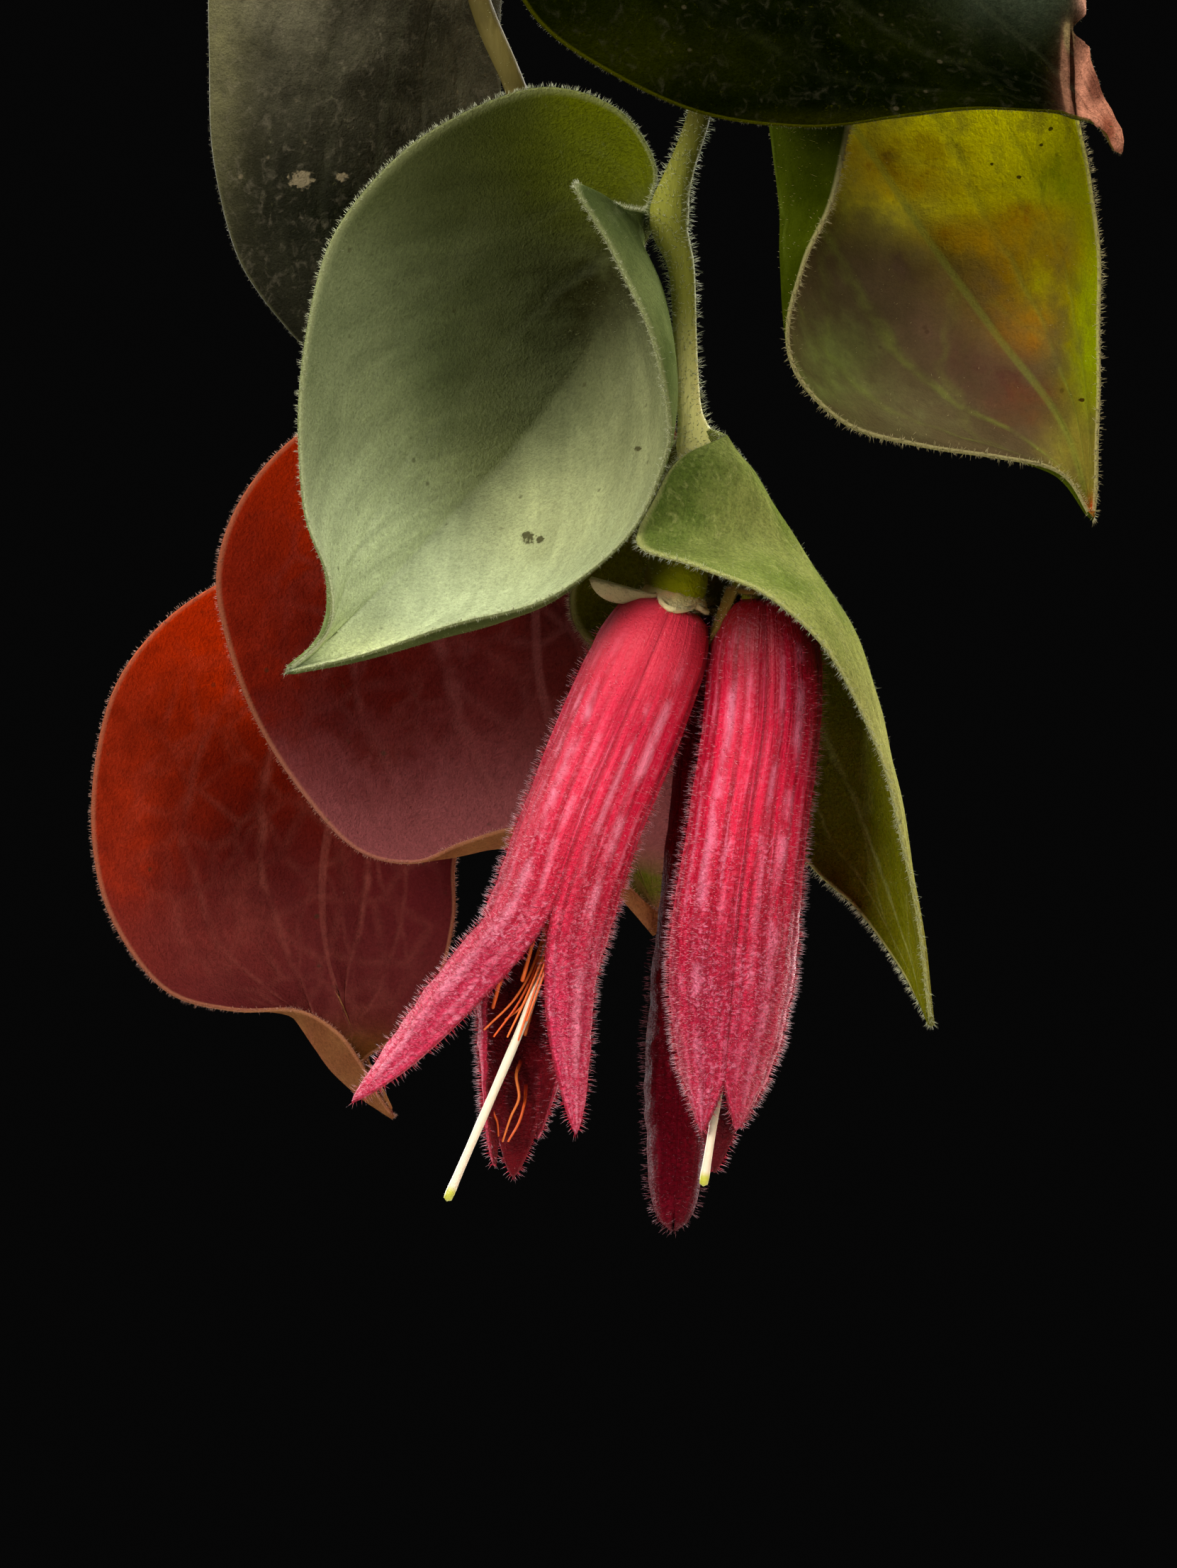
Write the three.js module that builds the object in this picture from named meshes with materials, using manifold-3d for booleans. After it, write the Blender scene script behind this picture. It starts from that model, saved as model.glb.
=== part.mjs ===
// A potted ceratostema pendens: a house plant with arching, hanging stems, cupped heart-shaped
// leaves with drip tips, and furry crimson tube flowers, in a plain terracotta pot.
// Millimetres, +Z up. The origin is the centre of the pot's foot, on the surface it stands on.
import * as THREE from 'three';
import { mergeVertices } from 'three/addons/utils/BufferGeometryUtils.js';
import Module from 'manifold-3d';

// Pot and soil
const footRadius = 50;
const rimRadius = 72;
const potHeight = 116;
const potWall = 6;
const potFloor = 8;
const bandHeight = 24;
const bandProud = 3.5;
const drainHoles = 4;
const drainRadius = 5;
const drainCircle = 28;
const soilTop = 102;
const soilCrown = 3;
const potSides = 40;

// Gap between a piece and what carries it
const seatGap = 0.3;

// Stems
const stemBaseRadius = 2;
const stemTipRadius = 0.85;
const stemSides = 6;
const stemStep = 11;
const stemDepth = 14;
const stemStand = 15;

// Leaves
const leafThickness = 0.7;
const bellyRise = 8;
const petioleRadius = 0.75;
const petioleReach = 2.5;

// Flowers
const petalThickness = 0.5;
const pedicelRadius = 0.55;
const styleRadius = 0.32;
const strandRadius = 0.28;
const collarRadius = 1.7;

// The branch tip that carries the flowers hangs beside the pot. Its points are measured
// from this centre, x to the right, y away from the viewer and z up.
const tipCentre = new THREE.Vector3(-190, 0, 90);

const wasm = await Module();
wasm.setup();

// Finishes
const finish = (colour, roughness) =>
  new THREE.MeshStandardMaterial({ color: colour, roughness, metalness: 0 });
const terracotta = finish(0xb4673f, 0.8);
const earth = finish(0x2c211a, 0.95);
const bark = finish(0x8c9464, 0.7);
const freshLeaf = finish(0x93a377, 0.65);
const darkLeaf = finish(0x2f3a2a, 0.45);
const yellowLeaf = finish(0xa5a11f, 0.55);
const redLeaf = finish(0x8c2f28, 0.55);
const furPetal = finish(0xc23a58, 0.6);
const darkPetal = finish(0x7c0f2c, 0.55);
const creamCalyx = finish(0xc9bd92, 0.7);
const creamStyle = finish(0xe9dcc0, 0.5);
const orangeStamen = finish(0xe0552a, 0.5);

const plant = new THREE.Group();

// Smooth curve through a list of [x, y, z] points
function smoothCurve(points, origin = new THREE.Vector3()) {
  const path = points.map((p) => new THREE.Vector3(...p).add(origin));
  return new THREE.CatmullRomCurve3(path, false, 'catmullrom', 0.5);
}

// Value between the stations of an evenly spaced list
function along(list, t) {
  const place = Math.min(Math.max(t, 0), 1) * (list.length - 1);
  const low = Math.min(Math.floor(place), list.length - 2);
  return THREE.MathUtils.lerp(list[low], list[low + 1], place - low);
}

// Same uneven number between 0 and 1 for the same index on every run
function scatter(index) {
  const wave = Math.sin(index * 12.9898 + 78.233) * 43758.5453;
  return wave - Math.floor(wave);
}

// Mesh data as a geometry whose shared corners are merged
function closedGeometry(points, faces) {
  const geometry = new THREE.BufferGeometry();
  const place = points.flatMap((p) => [p.x, p.y, p.z]);
  geometry.setAttribute('position', new THREE.Float32BufferAttribute(place, 3));
  geometry.setIndex(faces.flat());
  return geometry;
}

// Geometry and solid, for joining and cutting
function toSolid(geometry) {
  const bare = geometry.clone();
  bare.deleteAttribute('normal');
  bare.deleteAttribute('uv');
  const merged = mergeVertices(bare, 1e-4);
  const mesh = new wasm.Mesh({
    numProp: 3,
    vertProperties: new Float32Array(merged.attributes.position.array),
    triVerts: new Uint32Array(merged.index.array),
  });
  return new wasm.Manifold(mesh);
}

// Two solids joined in one body, without the specks of void that a fold can close off
function joined(first, second) {
  const bodies = first.add(second).decompose();
  return bodies.reduce((best, body) => (body.volume() > best.volume() ? body : best));
}

function toGeometry(solid) {
  const mesh = solid.getMesh();
  const geometry = new THREE.BufferGeometry();
  geometry.setAttribute('position', new THREE.BufferAttribute(mesh.vertProperties, 3));
  geometry.setIndex(new THREE.BufferAttribute(mesh.triVerts, 1));
  return geometry;
}

function addPiece(name, geometry, material) {
  const shown = geometry.index ? geometry.toNonIndexed() : geometry;
  shown.computeVertexNormals();
  const mesh = new THREE.Mesh(shown, material);
  mesh.name = name;
  plant.add(mesh);
}

// Corners of a sheet that lie at one place become one corner, and faces with no area go
function weld(points, faces) {
  const seen = new Map();
  const kept = [];
  const renamed = points.map((p) => {
    const key = [p.x, p.y, p.z].map((v) => Math.round(v * 1e4)).join();
    if (!seen.has(key)) {
      seen.set(key, kept.length);
      kept.push(p);
    }
    return seen.get(key);
  });
  const whole = faces
    .map((face) => face.map((corner) => renamed[corner]))
    .filter(([a, b, c]) => a !== b && b !== c && c !== a);
  return { points: kept, faces: whole };
}

// A sheet becomes a closed solid: both sides stand half the thickness off it, joined at the rim
function thicken(sheet, thickness) {
  const { points, faces } = weld(sheet.points, sheet.faces);
  const normals = points.map(() => new THREE.Vector3());
  for (const [a, b, c] of faces) {
    const ab = points[b].clone().sub(points[a]);
    const ac = points[c].clone().sub(points[a]);
    const normal = ab.cross(ac);
    for (const corner of [a, b, c]) {
      normals[corner].add(normal);
    }
  }
  const half = thickness / 2;
  const upper = points.map((p, i) => p.clone().addScaledVector(normals[i].normalize(), half));
  const lower = points.map((p, i) => p.clone().addScaledVector(normals[i], -half));
  const count = points.length;
  const edges = new Set(faces.flatMap(([a, b, c]) => [`${a},${b}`, `${b},${c}`, `${c},${a}`]));
  const solid = [];
  for (const face of faces) {
    const [a, b, c] = face;
    solid.push(face, [c + count, b + count, a + count]);
    for (const [from, to] of [[a, b], [b, c], [c, a]]) {
      if (!edges.has(`${to},${from}`)) {
        solid.push([to, from, from + count], [to, from + count, to + count]);
      }
    }
  }
  return closedGeometry([...upper, ...lower], solid);
}

// Round closed tube with a radius that changes along its path
function taperedTube(path, steps, sides, radiusAt) {
  const frames = path.computeFrenetFrames(steps, false);
  const points = [];
  const faces = [];
  for (let i = 0; i <= steps; i += 1) {
    const centre = path.getPointAt(i / steps);
    const radius = radiusAt(i / steps);
    for (let j = 0; j < sides; j += 1) {
      const turn = (j / sides) * Math.PI * 2;
      const rim = centre.clone().addScaledVector(frames.normals[i], Math.cos(turn) * radius);
      points.push(rim.addScaledVector(frames.binormals[i], Math.sin(turn) * radius));
    }
  }
  for (let i = 0; i < steps; i += 1) {
    for (let j = 0; j < sides; j += 1) {
      const next = (j + 1) % sides;
      const [a, b] = [i * sides + j, i * sides + next];
      const [c, d] = [(i + 1) * sides + next, (i + 1) * sides + j];
      faces.push([a, b, c], [a, c, d]);
    }
  }
  const start = points.push(path.getPointAt(0)) - 1;
  const end = points.push(path.getPointAt(1)) - 1;
  for (let j = 0; j < sides; j += 1) {
    const next = (j + 1) % sides;
    faces.push([start, next, j], [end, steps * sides + j, steps * sides + next]);
  }
  return closedGeometry(points, faces);
}

// Pot: a lathe-turned shell with a band at the rim and drain holes in its floor
function potGeometry() {
  const slope = (rimRadius - bandProud - footRadius) / potHeight;
  const outerAt = (z) => footRadius + slope * z;
  const bandLow = potHeight - bandHeight;
  const outline = [
    [0, 0],
    [footRadius - 1.5, 0],
    [footRadius, 1.5],
    [outerAt(bandLow), bandLow],
    [outerAt(bandLow) + bandProud, bandLow + 1.5],
    [rimRadius, potHeight - 2],
    [rimRadius - 2, potHeight],
    [rimRadius - bandProud - potWall + 1.5, potHeight],
    [rimRadius - bandProud - potWall, potHeight - 1.5],
    [outerAt(potFloor) - potWall, potFloor],
    [0, potFloor],
  ];
  const lathe = new THREE.LatheGeometry(outline.map(([r, z]) => new THREE.Vector2(r, z)), potSides);
  lathe.rotateX(Math.PI / 2);
  let pot = toSolid(lathe);
  for (let i = 0; i < drainHoles; i += 1) {
    const turn = ((i + 0.5) / drainHoles) * Math.PI * 2;
    const drill = new THREE.CylinderGeometry(drainRadius, drainRadius, potFloor * 3, 12);
    drill.rotateX(Math.PI / 2);
    drill.translate(Math.cos(turn) * drainCircle, Math.sin(turn) * drainCircle, 0);
    pot = pot.subtract(toSolid(drill));
  }
  return toGeometry(pot);
}

// Soil: fills the pot to below the rim, with a pocket around each stem
function soilGeometry(stems) {
  const slope = (rimRadius - bandProud - footRadius) / potHeight;
  const innerAt = (z) => footRadius + slope * z - potWall - seatGap;
  const outline = [
    [0, potFloor + seatGap],
    [innerAt(potFloor), potFloor + seatGap],
    [innerAt(soilTop - 1), soilTop - 1],
    [innerAt(soilTop) - 3, soilTop],
    [innerAt(soilTop) * 0.5, soilTop + soilCrown * 0.8],
    [0, soilTop + soilCrown],
  ];
  const lathe = new THREE.LatheGeometry(outline.map(([r, z]) => new THREE.Vector2(r, z)), potSides);
  lathe.rotateX(Math.PI / 2);
  let soil = toSolid(lathe);
  for (const stem of stems) {
    const foot = stem.path.getPointAt(0);
    const pocket = new THREE.CylinderGeometry(1, 1, stemDepth * 4, 10);
    const radius = stem.radiusAt(0) + 2 * seatGap;
    pocket.scale(radius, 1, radius);
    pocket.rotateX(Math.PI / 2);
    pocket.translate(foot.x, foot.y, foot.z - seatGap + stemDepth * 2);
    soil = soil.subtract(toSolid(pocket));
  }
  return toGeometry(soil);
}

// Leaf blade: a midrib with two margins, and each half bulging between them. Row by row the
// half is a quadratic curve from the midrib to the margin, pulled aside by its belly, which
// starts from nothing at the stalk.
function leafSheet(shape, rows, cells, origin) {
  const midrib = smoothCurve(shape.midrib, origin);
  const halves = [
    { edge: smoothCurve(shape.left, origin), belly: smoothCurve(shape.bellyLeft) },
    { edge: smoothCurve(shape.right, origin), belly: smoothCurve(shape.bellyRight) },
  ];
  const points = [];
  for (let i = 0; i <= rows; i += 1) {
    const t = i / rows;
    const middle = midrib.getPoint(t);
    const rise = Math.min(1, t * bellyRise);
    for (let j = -cells; j <= cells; j += 1) {
      const { edge, belly } = halves[j < 0 ? 0 : 1];
      const s = Math.abs(j) / cells;
      const margin = edge.getPoint(t);
      const pull = middle.clone().add(margin).multiplyScalar(0.5);
      pull.addScaledVector(belly.getPoint(t), rise);
      const place = middle.clone().multiplyScalar((1 - s) ** 2);
      points.push(place.addScaledVector(pull, 2 * s * (1 - s)).addScaledVector(margin, s * s));
    }
  }
  const across = cells * 2 + 1;
  const faces = [];
  for (let i = 0; i < rows; i += 1) {
    for (let j = 0; j < across - 1; j += 1) {
      const [a, b] = [i * across + j, (i + 1) * across + j];
      faces.push([a, b, b + 1], [a, b + 1, a + 1]);
    }
  }
  return { points, faces };
}

// Nearest place on a stem to a point
function nearestOn(stem, point) {
  const samples = 400;
  let best = 0;
  let least = Infinity;
  for (let i = 0; i <= samples; i += 1) {
    const gap = stem.path.getPointAt(i / samples).distanceTo(point);
    if (gap < least) {
      least = gap;
      best = i / samples;
    }
  }
  return best;
}

// Leaf with its stalk. The stalk starts at the stem's skin and runs a little way into the blade.
function addLeaf(name, shape, stem, material, rows, cells, origin = new THREE.Vector3()) {
  const blade = toSolid(thicken(leafSheet(shape, rows, cells, origin), leafThickness));
  const midrib = smoothCurve(shape.midrib, origin);
  const base = midrib.getPoint(0);
  const place = nearestOn(stem, base);
  const centre = stem.path.getPointAt(place);
  const away = base.clone().sub(centre).normalize();
  const skin = centre.addScaledVector(away, stem.radiusAt(place) + seatGap);
  if (skin.distanceTo(base) < petioleRadius) {
    addPiece(name, toGeometry(blade), material);
    return;
  }
  const inner = midrib.getPointAt(petioleReach / midrib.getLength());
  const route = new THREE.QuadraticBezierCurve3(skin, base, inner);
  const stalk = taperedTube(route, 3, 6, (t) => petioleRadius * (1 - 0.35 * t));
  addPiece(name, toGeometry(joined(blade, toSolid(stalk))), material);
}

// Directions around a flower's axis at station t: down it, towards the viewer and to the side
function axisFrame(axis, t) {
  const down = axis.getTangent(Math.min(Math.max(t, 0), 1));
  const viewer = new THREE.Vector3(0, -1, 0);
  const front = viewer.addScaledVector(down, -viewer.dot(down)).normalize();
  return { down, front, side: down.clone().cross(front) };
}

// Place on the axis, carried on in a straight line past either end
function axisPoint(axis, t) {
  const held = Math.min(Math.max(t, 0), 1);
  const place = axis.getPoint(held);
  return place.addScaledVector(axis.getTangent(held), (t - held) * axis.getLength());
}

// Ring of five lobes, joined down to the slits between them: a corolla or a calyx.
// A lobe is { at, end, out, side, slit }: its angle in degrees, the station of its tip, how far
// the tip moves out and sideways in mm, and the station where the slit before it opens.
function lobedSheet(flower, rows, cells) {
  const axis = smoothCurve(flower.axis, flower.origin);
  const { radius, lobes } = flower;
  const step = (Math.PI * 2) / lobes.length;
  const points = [];
  const faces = [];
  const corner = lobes.map(() => []);
  lobes.forEach((lobe, k) => {
    const centre = THREE.MathUtils.degToRad(lobe.at);
    const before = lobe.slit;
    const after = lobes[(k + 1) % lobes.length].slit;
    const opens = Math.min(before, after);
    for (let i = 0; i <= rows; i += 1) {
      const t = i / rows;
      const bend = Math.max(0, (t - opens) / (1 - opens)) ** 1.6;
      const station = t < 0.5 ? t : 0.5 + (t - 0.5) * (lobe.end - 0.5) * 2;
      const { front, side } = axisFrame(axis, t);
      const ray = (turn) => {
        const ahead = front.clone().multiplyScalar(Math.cos(turn));
        return ahead.addScaledVector(side, Math.sin(turn));
      };
      corner[k][i] = [];
      for (let j = 0; j <= cells; j += 1) {
        if (j === 0 && k > 0 && t <= before) {
          corner[k][i][j] = corner[k - 1][i][cells];
          continue;
        }
        if (j === cells && k === lobes.length - 1 && t <= after) {
          corner[k][i][j] = corner[0][i][0];
          continue;
        }
        const across = (2 * j) / cells - 1;
        const slit = across < 0 ? before : after;
        const past = Math.max(0, (t - slit) / (1 - slit));
        const width = (1 - past ** 2.2) ** 0.8;
        const place = axisPoint(axis, station);
        place.addScaledVector(ray(centre + (across * step * width) / 2), along(radius, t));
        place.addScaledVector(ray(centre), lobe.out * bend);
        place.addScaledVector(ray(centre + Math.PI / 2), lobe.side * bend);
        corner[k][i][j] = points.push(place) - 1;
      }
    }
    for (let i = 0; i < rows; i += 1) {
      for (let j = 0; j < cells; j += 1) {
        const [a, b] = [corner[k][i][j], corner[k][i + 1][j]];
        const [c, d] = [corner[k][i + 1][j + 1], corner[k][i][j + 1]];
        faces.push([a, b, c], [a, c, d]);
      }
    }
  });
  return { points, faces };
}

function addCorolla(name, flower, material, rows, cells) {
  addPiece(name, thicken(lobedSheet(flower, rows, cells), petalThickness), material);
}

// Flower stalk that swells into the ovary, with the five calyx lobes around its end
function addCalyx(name, flower, stem, rows, cells) {
  const { route, ovary, calyx, origin } = flower;
  const turns = route.map((p) => new THREE.Vector3(...p).add(origin));
  const place = nearestOn(stem, turns[0]);
  const centre = stem.path.getPointAt(place);
  const away = turns[0].clone().sub(centre).normalize();
  const skin = centre.addScaledVector(away, stem.radiusAt(place) + seatGap);
  const path = new THREE.CatmullRomCurve3([skin, ...turns], false, 'catmullrom', 0.5);
  const swell = [pedicelRadius, pedicelRadius, pedicelRadius * 1.4, ovary, ovary * 1.05, ovary];
  const stalk = toSolid(taperedTube(path, 8, 8, (t) => along(swell, t)));
  const lobes = toSolid(thicken(lobedSheet({ ...calyx, origin }, rows, cells), petalThickness));
  addPiece(name, toGeometry(joined(stalk, lobes)), creamCalyx);
}

function addStyle(name, route, origin) {
  const path = smoothCurve(route, origin);
  addPiece(name, taperedTube(path, 9, 6, (t) => styleRadius * (1.15 - 0.2 * t)), creamStyle);
}

// Stamens: thin strands that stand on one collar around the style
function addStamens(name, flower, strands) {
  const axis = smoothCurve(flower.axis, flower.origin);
  const collarPath = new THREE.LineCurve3(axisPoint(axis, 0.012), axisPoint(axis, 0.05));
  const outer = toSolid(taperedTube(collarPath, 1, 12, () => collarRadius));
  const hole = new THREE.LineCurve3(axisPoint(axis, -0.05), axisPoint(axis, 0.12));
  let stamens = outer.subtract(toSolid(taperedTube(hole, 1, 12, () => styleRadius + 2 * seatGap)));
  for (const { at, end, spread } of strands) {
    const turn = THREE.MathUtils.degToRad(at);
    const route = [0.03, 0.2, 0.45, end].map((t) => {
      const { front, side } = axisFrame(axis, t);
      const reach = THREE.MathUtils.lerp(1.3, spread, Math.min(1, t / 0.45));
      const place = axisPoint(axis, t).addScaledVector(front, Math.cos(turn) * reach);
      return place.addScaledVector(side, Math.sin(turn) * reach);
    });
    const path = new THREE.CatmullRomCurve3(route, false, 'catmullrom', 0.5);
    stamens = stamens.add(toSolid(taperedTube(path, 5, 4, () => strandRadius)));
  }
  addPiece(name, toGeometry(stamens), orangeStamen);
}

// Stems: a path from the soil pocket to the tip, thinner towards the tip
function makeStem(name, points, tipRadius, swelling) {
  const path = smoothCurve(points);
  const stem = { name, path, radiusAt: null };
  const at = swelling ? nearestOn(stem, new THREE.Vector3(...swelling.near)) : 0;
  stem.radiusAt = (t) => {
    const plain = THREE.MathUtils.lerp(stemBaseRadius, tipRadius, Math.min(1, t * 1.4));
    const node = swelling ? Math.exp(-(((t - at) / 0.012) ** 2)) * swelling.by : 0;
    return plain + node;
  };
  return stem;
}

const fromTip = ([x, y, z]) => [x + tipCentre.x, y + tipCentre.y, z + tipCentre.z];
const pocketFloor = soilTop + soilCrown * 0.9 - stemDepth;

const flowerStem = makeStem('stem_flowering', [
  [-stemStand, 0, pocketFloor],
  [-stemStand, 0, pocketFloor + stemDepth],
  [-stemStand - 1, 0, soilTop + 16],
  [-24, 0, 160],
  [-58, 0, 202],
  [-108, 0, 216],
  [-150, 0, 200],
  ...[
    [22, 0, 93],
    [13.8, 0, 75],
    [11.4, 0, 64],
    [9.6, 0, 57.3],
    [8.2, 0, 49.3],
    [5.9, 0, 41.9],
    [6.8, 0, 37.7],
    [7.1, 0, 31.9],
    [7.4, 0, 27.2],
    [8.1, 0, 24.2],
  ].map(fromTip),
], stemTipRadius, { near: fromTip([5.9, 0, 41.9]), by: 0.4 });

const redStem = makeStem('stem_red_leaves', [
  [-12, 9, pocketFloor],
  [-12, 9, pocketFloor + stemDepth],
  [-12.5, 10, soilTop + 16],
  [-20, 16, 165],
  [-62, 24, 216],
  [-122, 28, 234],
  [-172, 24, 218],
  ...[
    [-7, 19, 98],
    [-11.2, 17, 78],
    [-9.7, 14.5, 67.6],
    [-8.3, 14, 59.4],
    [-5.6, 14.5, 52.8],
    [-3, 18, 45.7],
    [-1.7, 21, 37.3],
    [-2, 23, 29.8],
    [-4.7, 27, 23.5],
    [-10, 31, 17.6],
  ].map(fromTip),
], stemTipRadius, null);

// The other stems arch over the rim all around and hang down outside the pot
const archPlans = [
  { turn: 112, reach: 112, top: 92, drop: 40, first: 6 },
  { turn: 62, reach: 128, top: 104, drop: 24, first: 15 },
  { turn: 8, reach: 120, top: 84, drop: 52, first: 24 },
  { turn: -48, reach: 132, top: 98, drop: 30, first: 33 },
  { turn: -102, reach: 108, top: 88, drop: 44, first: 43 },
];
const archStems = archPlans.map(({ turn, reach, top, drop }, i) => {
  const angle = THREE.MathUtils.degToRad(turn);
  const sway = THREE.MathUtils.degToRad(7 * (scatter(i) - 0.5));
  const outline = [
    [stemStand, pocketFloor],
    [stemStand, pocketFloor + stemDepth],
    [stemStand + 0.6, soilTop + 16],
    [stemStand + 8, soilTop + top * 0.55],
    [reach * 0.38, soilTop + top * 0.95],
    [reach * 0.68, soilTop + top],
    [reach * 0.92, soilTop + top * 0.62],
    [reach, soilTop + top * 0.1],
    [reach + 2, soilTop - drop],
  ];
  const points = outline.map(([r, z], k) => {
    const bend = angle + sway * Math.max(0, k - 3);
    return [Math.cos(bend) * r, Math.sin(bend) * r, z];
  });
  return makeStem(`stem_arch_${i + 1}`, points, stemTipRadius, null);
});

const stems = [flowerStem, redStem, ...archStems];
addPiece('pot', potGeometry(), terracotta);
addPiece('soil', soilGeometry(stems), earth);
for (const stem of stems) {
  const steps = Math.round(stem.path.getLength() / stemStep);
  addPiece(stem.name, taperedTube(stem.path, steps, stemSides, stem.radiusAt), bark);
}

// Leaves around the flowers
const frontLeaf = {
  midrib: [
    [4.2, 1, 41.8], [2, 9, 35.8], [-3.8, 12, 27], [-12.1, 7, 17.7], [-18.1, -1, 11.4],
    [-21.8, -5, 8.1],
  ],
  left: [
    [4.2, 1, 41.8], [4.8, 1, 45.2], [1.9, 0, 49.4], [-4.1, -1, 50.7], [-11.3, -3, 47.3],
    [-16.7, -5, 42], [-19.6, -6, 36.1], [-20.7, -7, 27.8], [-20.3, -8, 20.1], [-18.7, -8, 14.8],
    [-18.7, -8, 11.1], [-21.8, -5, 8.1],
  ],
  right: [
    [4.2, 1, 41.8], [1.8, -6, 41.6], [-0.9, -12, 42.4], [1.9, -13, 37.5], [4.1, -14, 32.4],
    [5.5, -13, 26.9], [5.4, -11.2, 22.7], [2.8, -9, 17.8], [-2.6, -8, 13.6], [-9.7, -8, 11.4],
    [-16.6, -7, 9.2], [-21.8, -5, 8.1],
  ],
  bellyLeft: [[0, 2, 0], [0, 4, 0], [0, 3, 0], [0, 0, 0]],
  bellyRight: [[0, 0, 0], [9, 4, 1], [6, 4, -2], [0, 0, 0]],
};

const hoodLeaf = {
  midrib: [
    [10, -1, 25.2], [12, 1.4, 22.2], [16.2, 3.4, 15.9], [20.1, 3, 8.1], [22.4, 2, -0.7],
    [23.9, 1, -9.6], [25, -1, -17.5],
  ],
  left: [
    [10, -1, 25.2], [6.6, -5, 23.4], [4.9, -7.2, 20.7], [3.6, -9, 17.1], [8, -12, 15.5],
    [13.1, -13, 13], [17.2, -11.5, 9.1], [20.7, -8.5, 2.9], [22.8, -5.5, -4.9], [24.3, -3, -12.5],
    [25, -1, -17.5],
  ],
  right: [
    [10, -1, 25.2], [6.6, 7, 25.5], [1.6, 12, 21.6], [-1.3, 15, 14.4], [0.4, 16, 10.3],
    [5.4, 17, 7.1], [10.7, 16, 1.4], [16.8, 13, -6.1], [20.2, 8, -9.4], [23.1, 4, -13.6],
    [25, -1, -17.5],
  ],
  bellyLeft: [[1, -1, 1], [6, -2, 1], [1, -2, 0], [0, 0, 0]],
  bellyRight: [[0, 3, 3], [0, 9, 3], [0, 6, 1], [0, 0, 0]],
};

const mottledLeaf = {
  midrib: [
    [11.5, 3, 60.1], [15.3, 8, 54.7], [20.4, 10, 48.2], [25.4, 9, 40.5], [30.3, 6, 33.2],
    [34.9, 2, 26.3], [36.7, -2, 19.3],
  ],
  left: [
    [11.5, 3, 60.1], [14, 1, 62.4], [18.4, -4, 58.3], [19.4, -8, 52.1], [18.7, -8, 46.8],
    [17.4, -8, 41.5], [15.4, -8, 37.3], [14.3, -7, 33.3], [15.2, -6, 29.3], [18.9, -5, 26],
    [24.1, -4, 24.4], [29.8, -3, 23.7], [34.5, -2, 22.6], [36.7, -2, 19.3],
  ],
  right: [
    [11.5, 3, 60.1], [15.7, 6, 65], [23.7, 7, 66.2], [30.9, 5, 61.7], [34.9, 3, 54.1],
    [36.2, 1, 47.1], [37.1, 0, 40.2], [37.3, -1, 32.4], [37, -2, 24.5], [36.7, -2, 19.3],
  ],
  bellyLeft: [[-9, 0, 2], [-11, 3, 0], [-5, 3, -1], [0, 0, 0]],
  bellyRight: [[0, 1, 0], [1, 3, 0], [1, 2, 0], [0, 0, 0]],
};

const upperDarkLeaf = {
  midrib: [
    [13.1, -4, 71.2], [17.9, -5, 65.6], [23.5, -6, 60.3], [28.3, -8, 55.7], [33.4, -10, 50.7],
    [37.7, -12, 44.8],
  ],
  left: [
    [13.1, -4, 71.2], [8.6, -7, 76.2], [1.5, -11, 74.5], [-4.3, -14, 66.9], [-5.8, -16, 59.6],
    [-4, -17, 54.2], [1, -18, 50.1], [7.7, -18, 47], [14.9, -18, 46], [21.9, -17, 46.9],
    [28.4, -16, 47.5], [34.9, -13, 47.1], [37.7, -12, 44.8],
  ],
  right: [
    [13.1, -4, 71.2], [14.4, -3, 77.5], [20.6, -2, 79.7], [27.8, -2, 77.1], [33.4, -3, 70.8],
    [35.8, -5, 62.8], [35.6, -8, 54.2], [37.7, -12, 44.8],
  ],
  bellyLeft: [[0, -2, 0], [0, -3, 0], [0, -2, 0], [0, 0, 0]],
  bellyRight: [[0, -2, 0], [0, -3, 0], [0, -2, 0], [0, 0, 0]],
};

const backDarkLeaf = {
  midrib: [
    [-11.2, 20.5, 76.3], [-12.4, 18.5, 66.1], [-14.5, 16.5, 56.1], [-16.1, 15.5, 46.5],
    [-16.6, 14, 36.7], [-15.3, 13, 29.2],
  ],
  left: [
    [-11.2, 20.5, 76.3], [-12.5, 21, 81.7], [-19.6, 20, 81.7], [-26, 19, 74.5], [-28.4, 17, 63.9],
    [-28.7, 16, 55.2], [-28.3, 15, 47], [-26.3, 14, 39.7], [-22.5, 13, 34.2], [-18.7, 13, 30.8],
    [-15.3, 13, 29.2],
  ],
  right: [
    [-11.2, 20.5, 76.3], [-8.2, 23, 81.8], [-5, 24, 78.7], [-4.7, 24, 71.5], [-6.5, 23, 63.7],
    [-6.9, 23, 55.5], [-6.4, 22, 47.2], [-7.6, 19, 39.9], [-11.3, 15, 33.6], [-15.3, 13, 29.2],
  ],
  bellyLeft: [[0, 0, 0], [0, -2, 0], [0, -3, 0], [0, 0, 0]],
  bellyRight: [[0, 0, 0], [0, 0, 0], [0, -1, 0], [0, 0, 0]],
};

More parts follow.
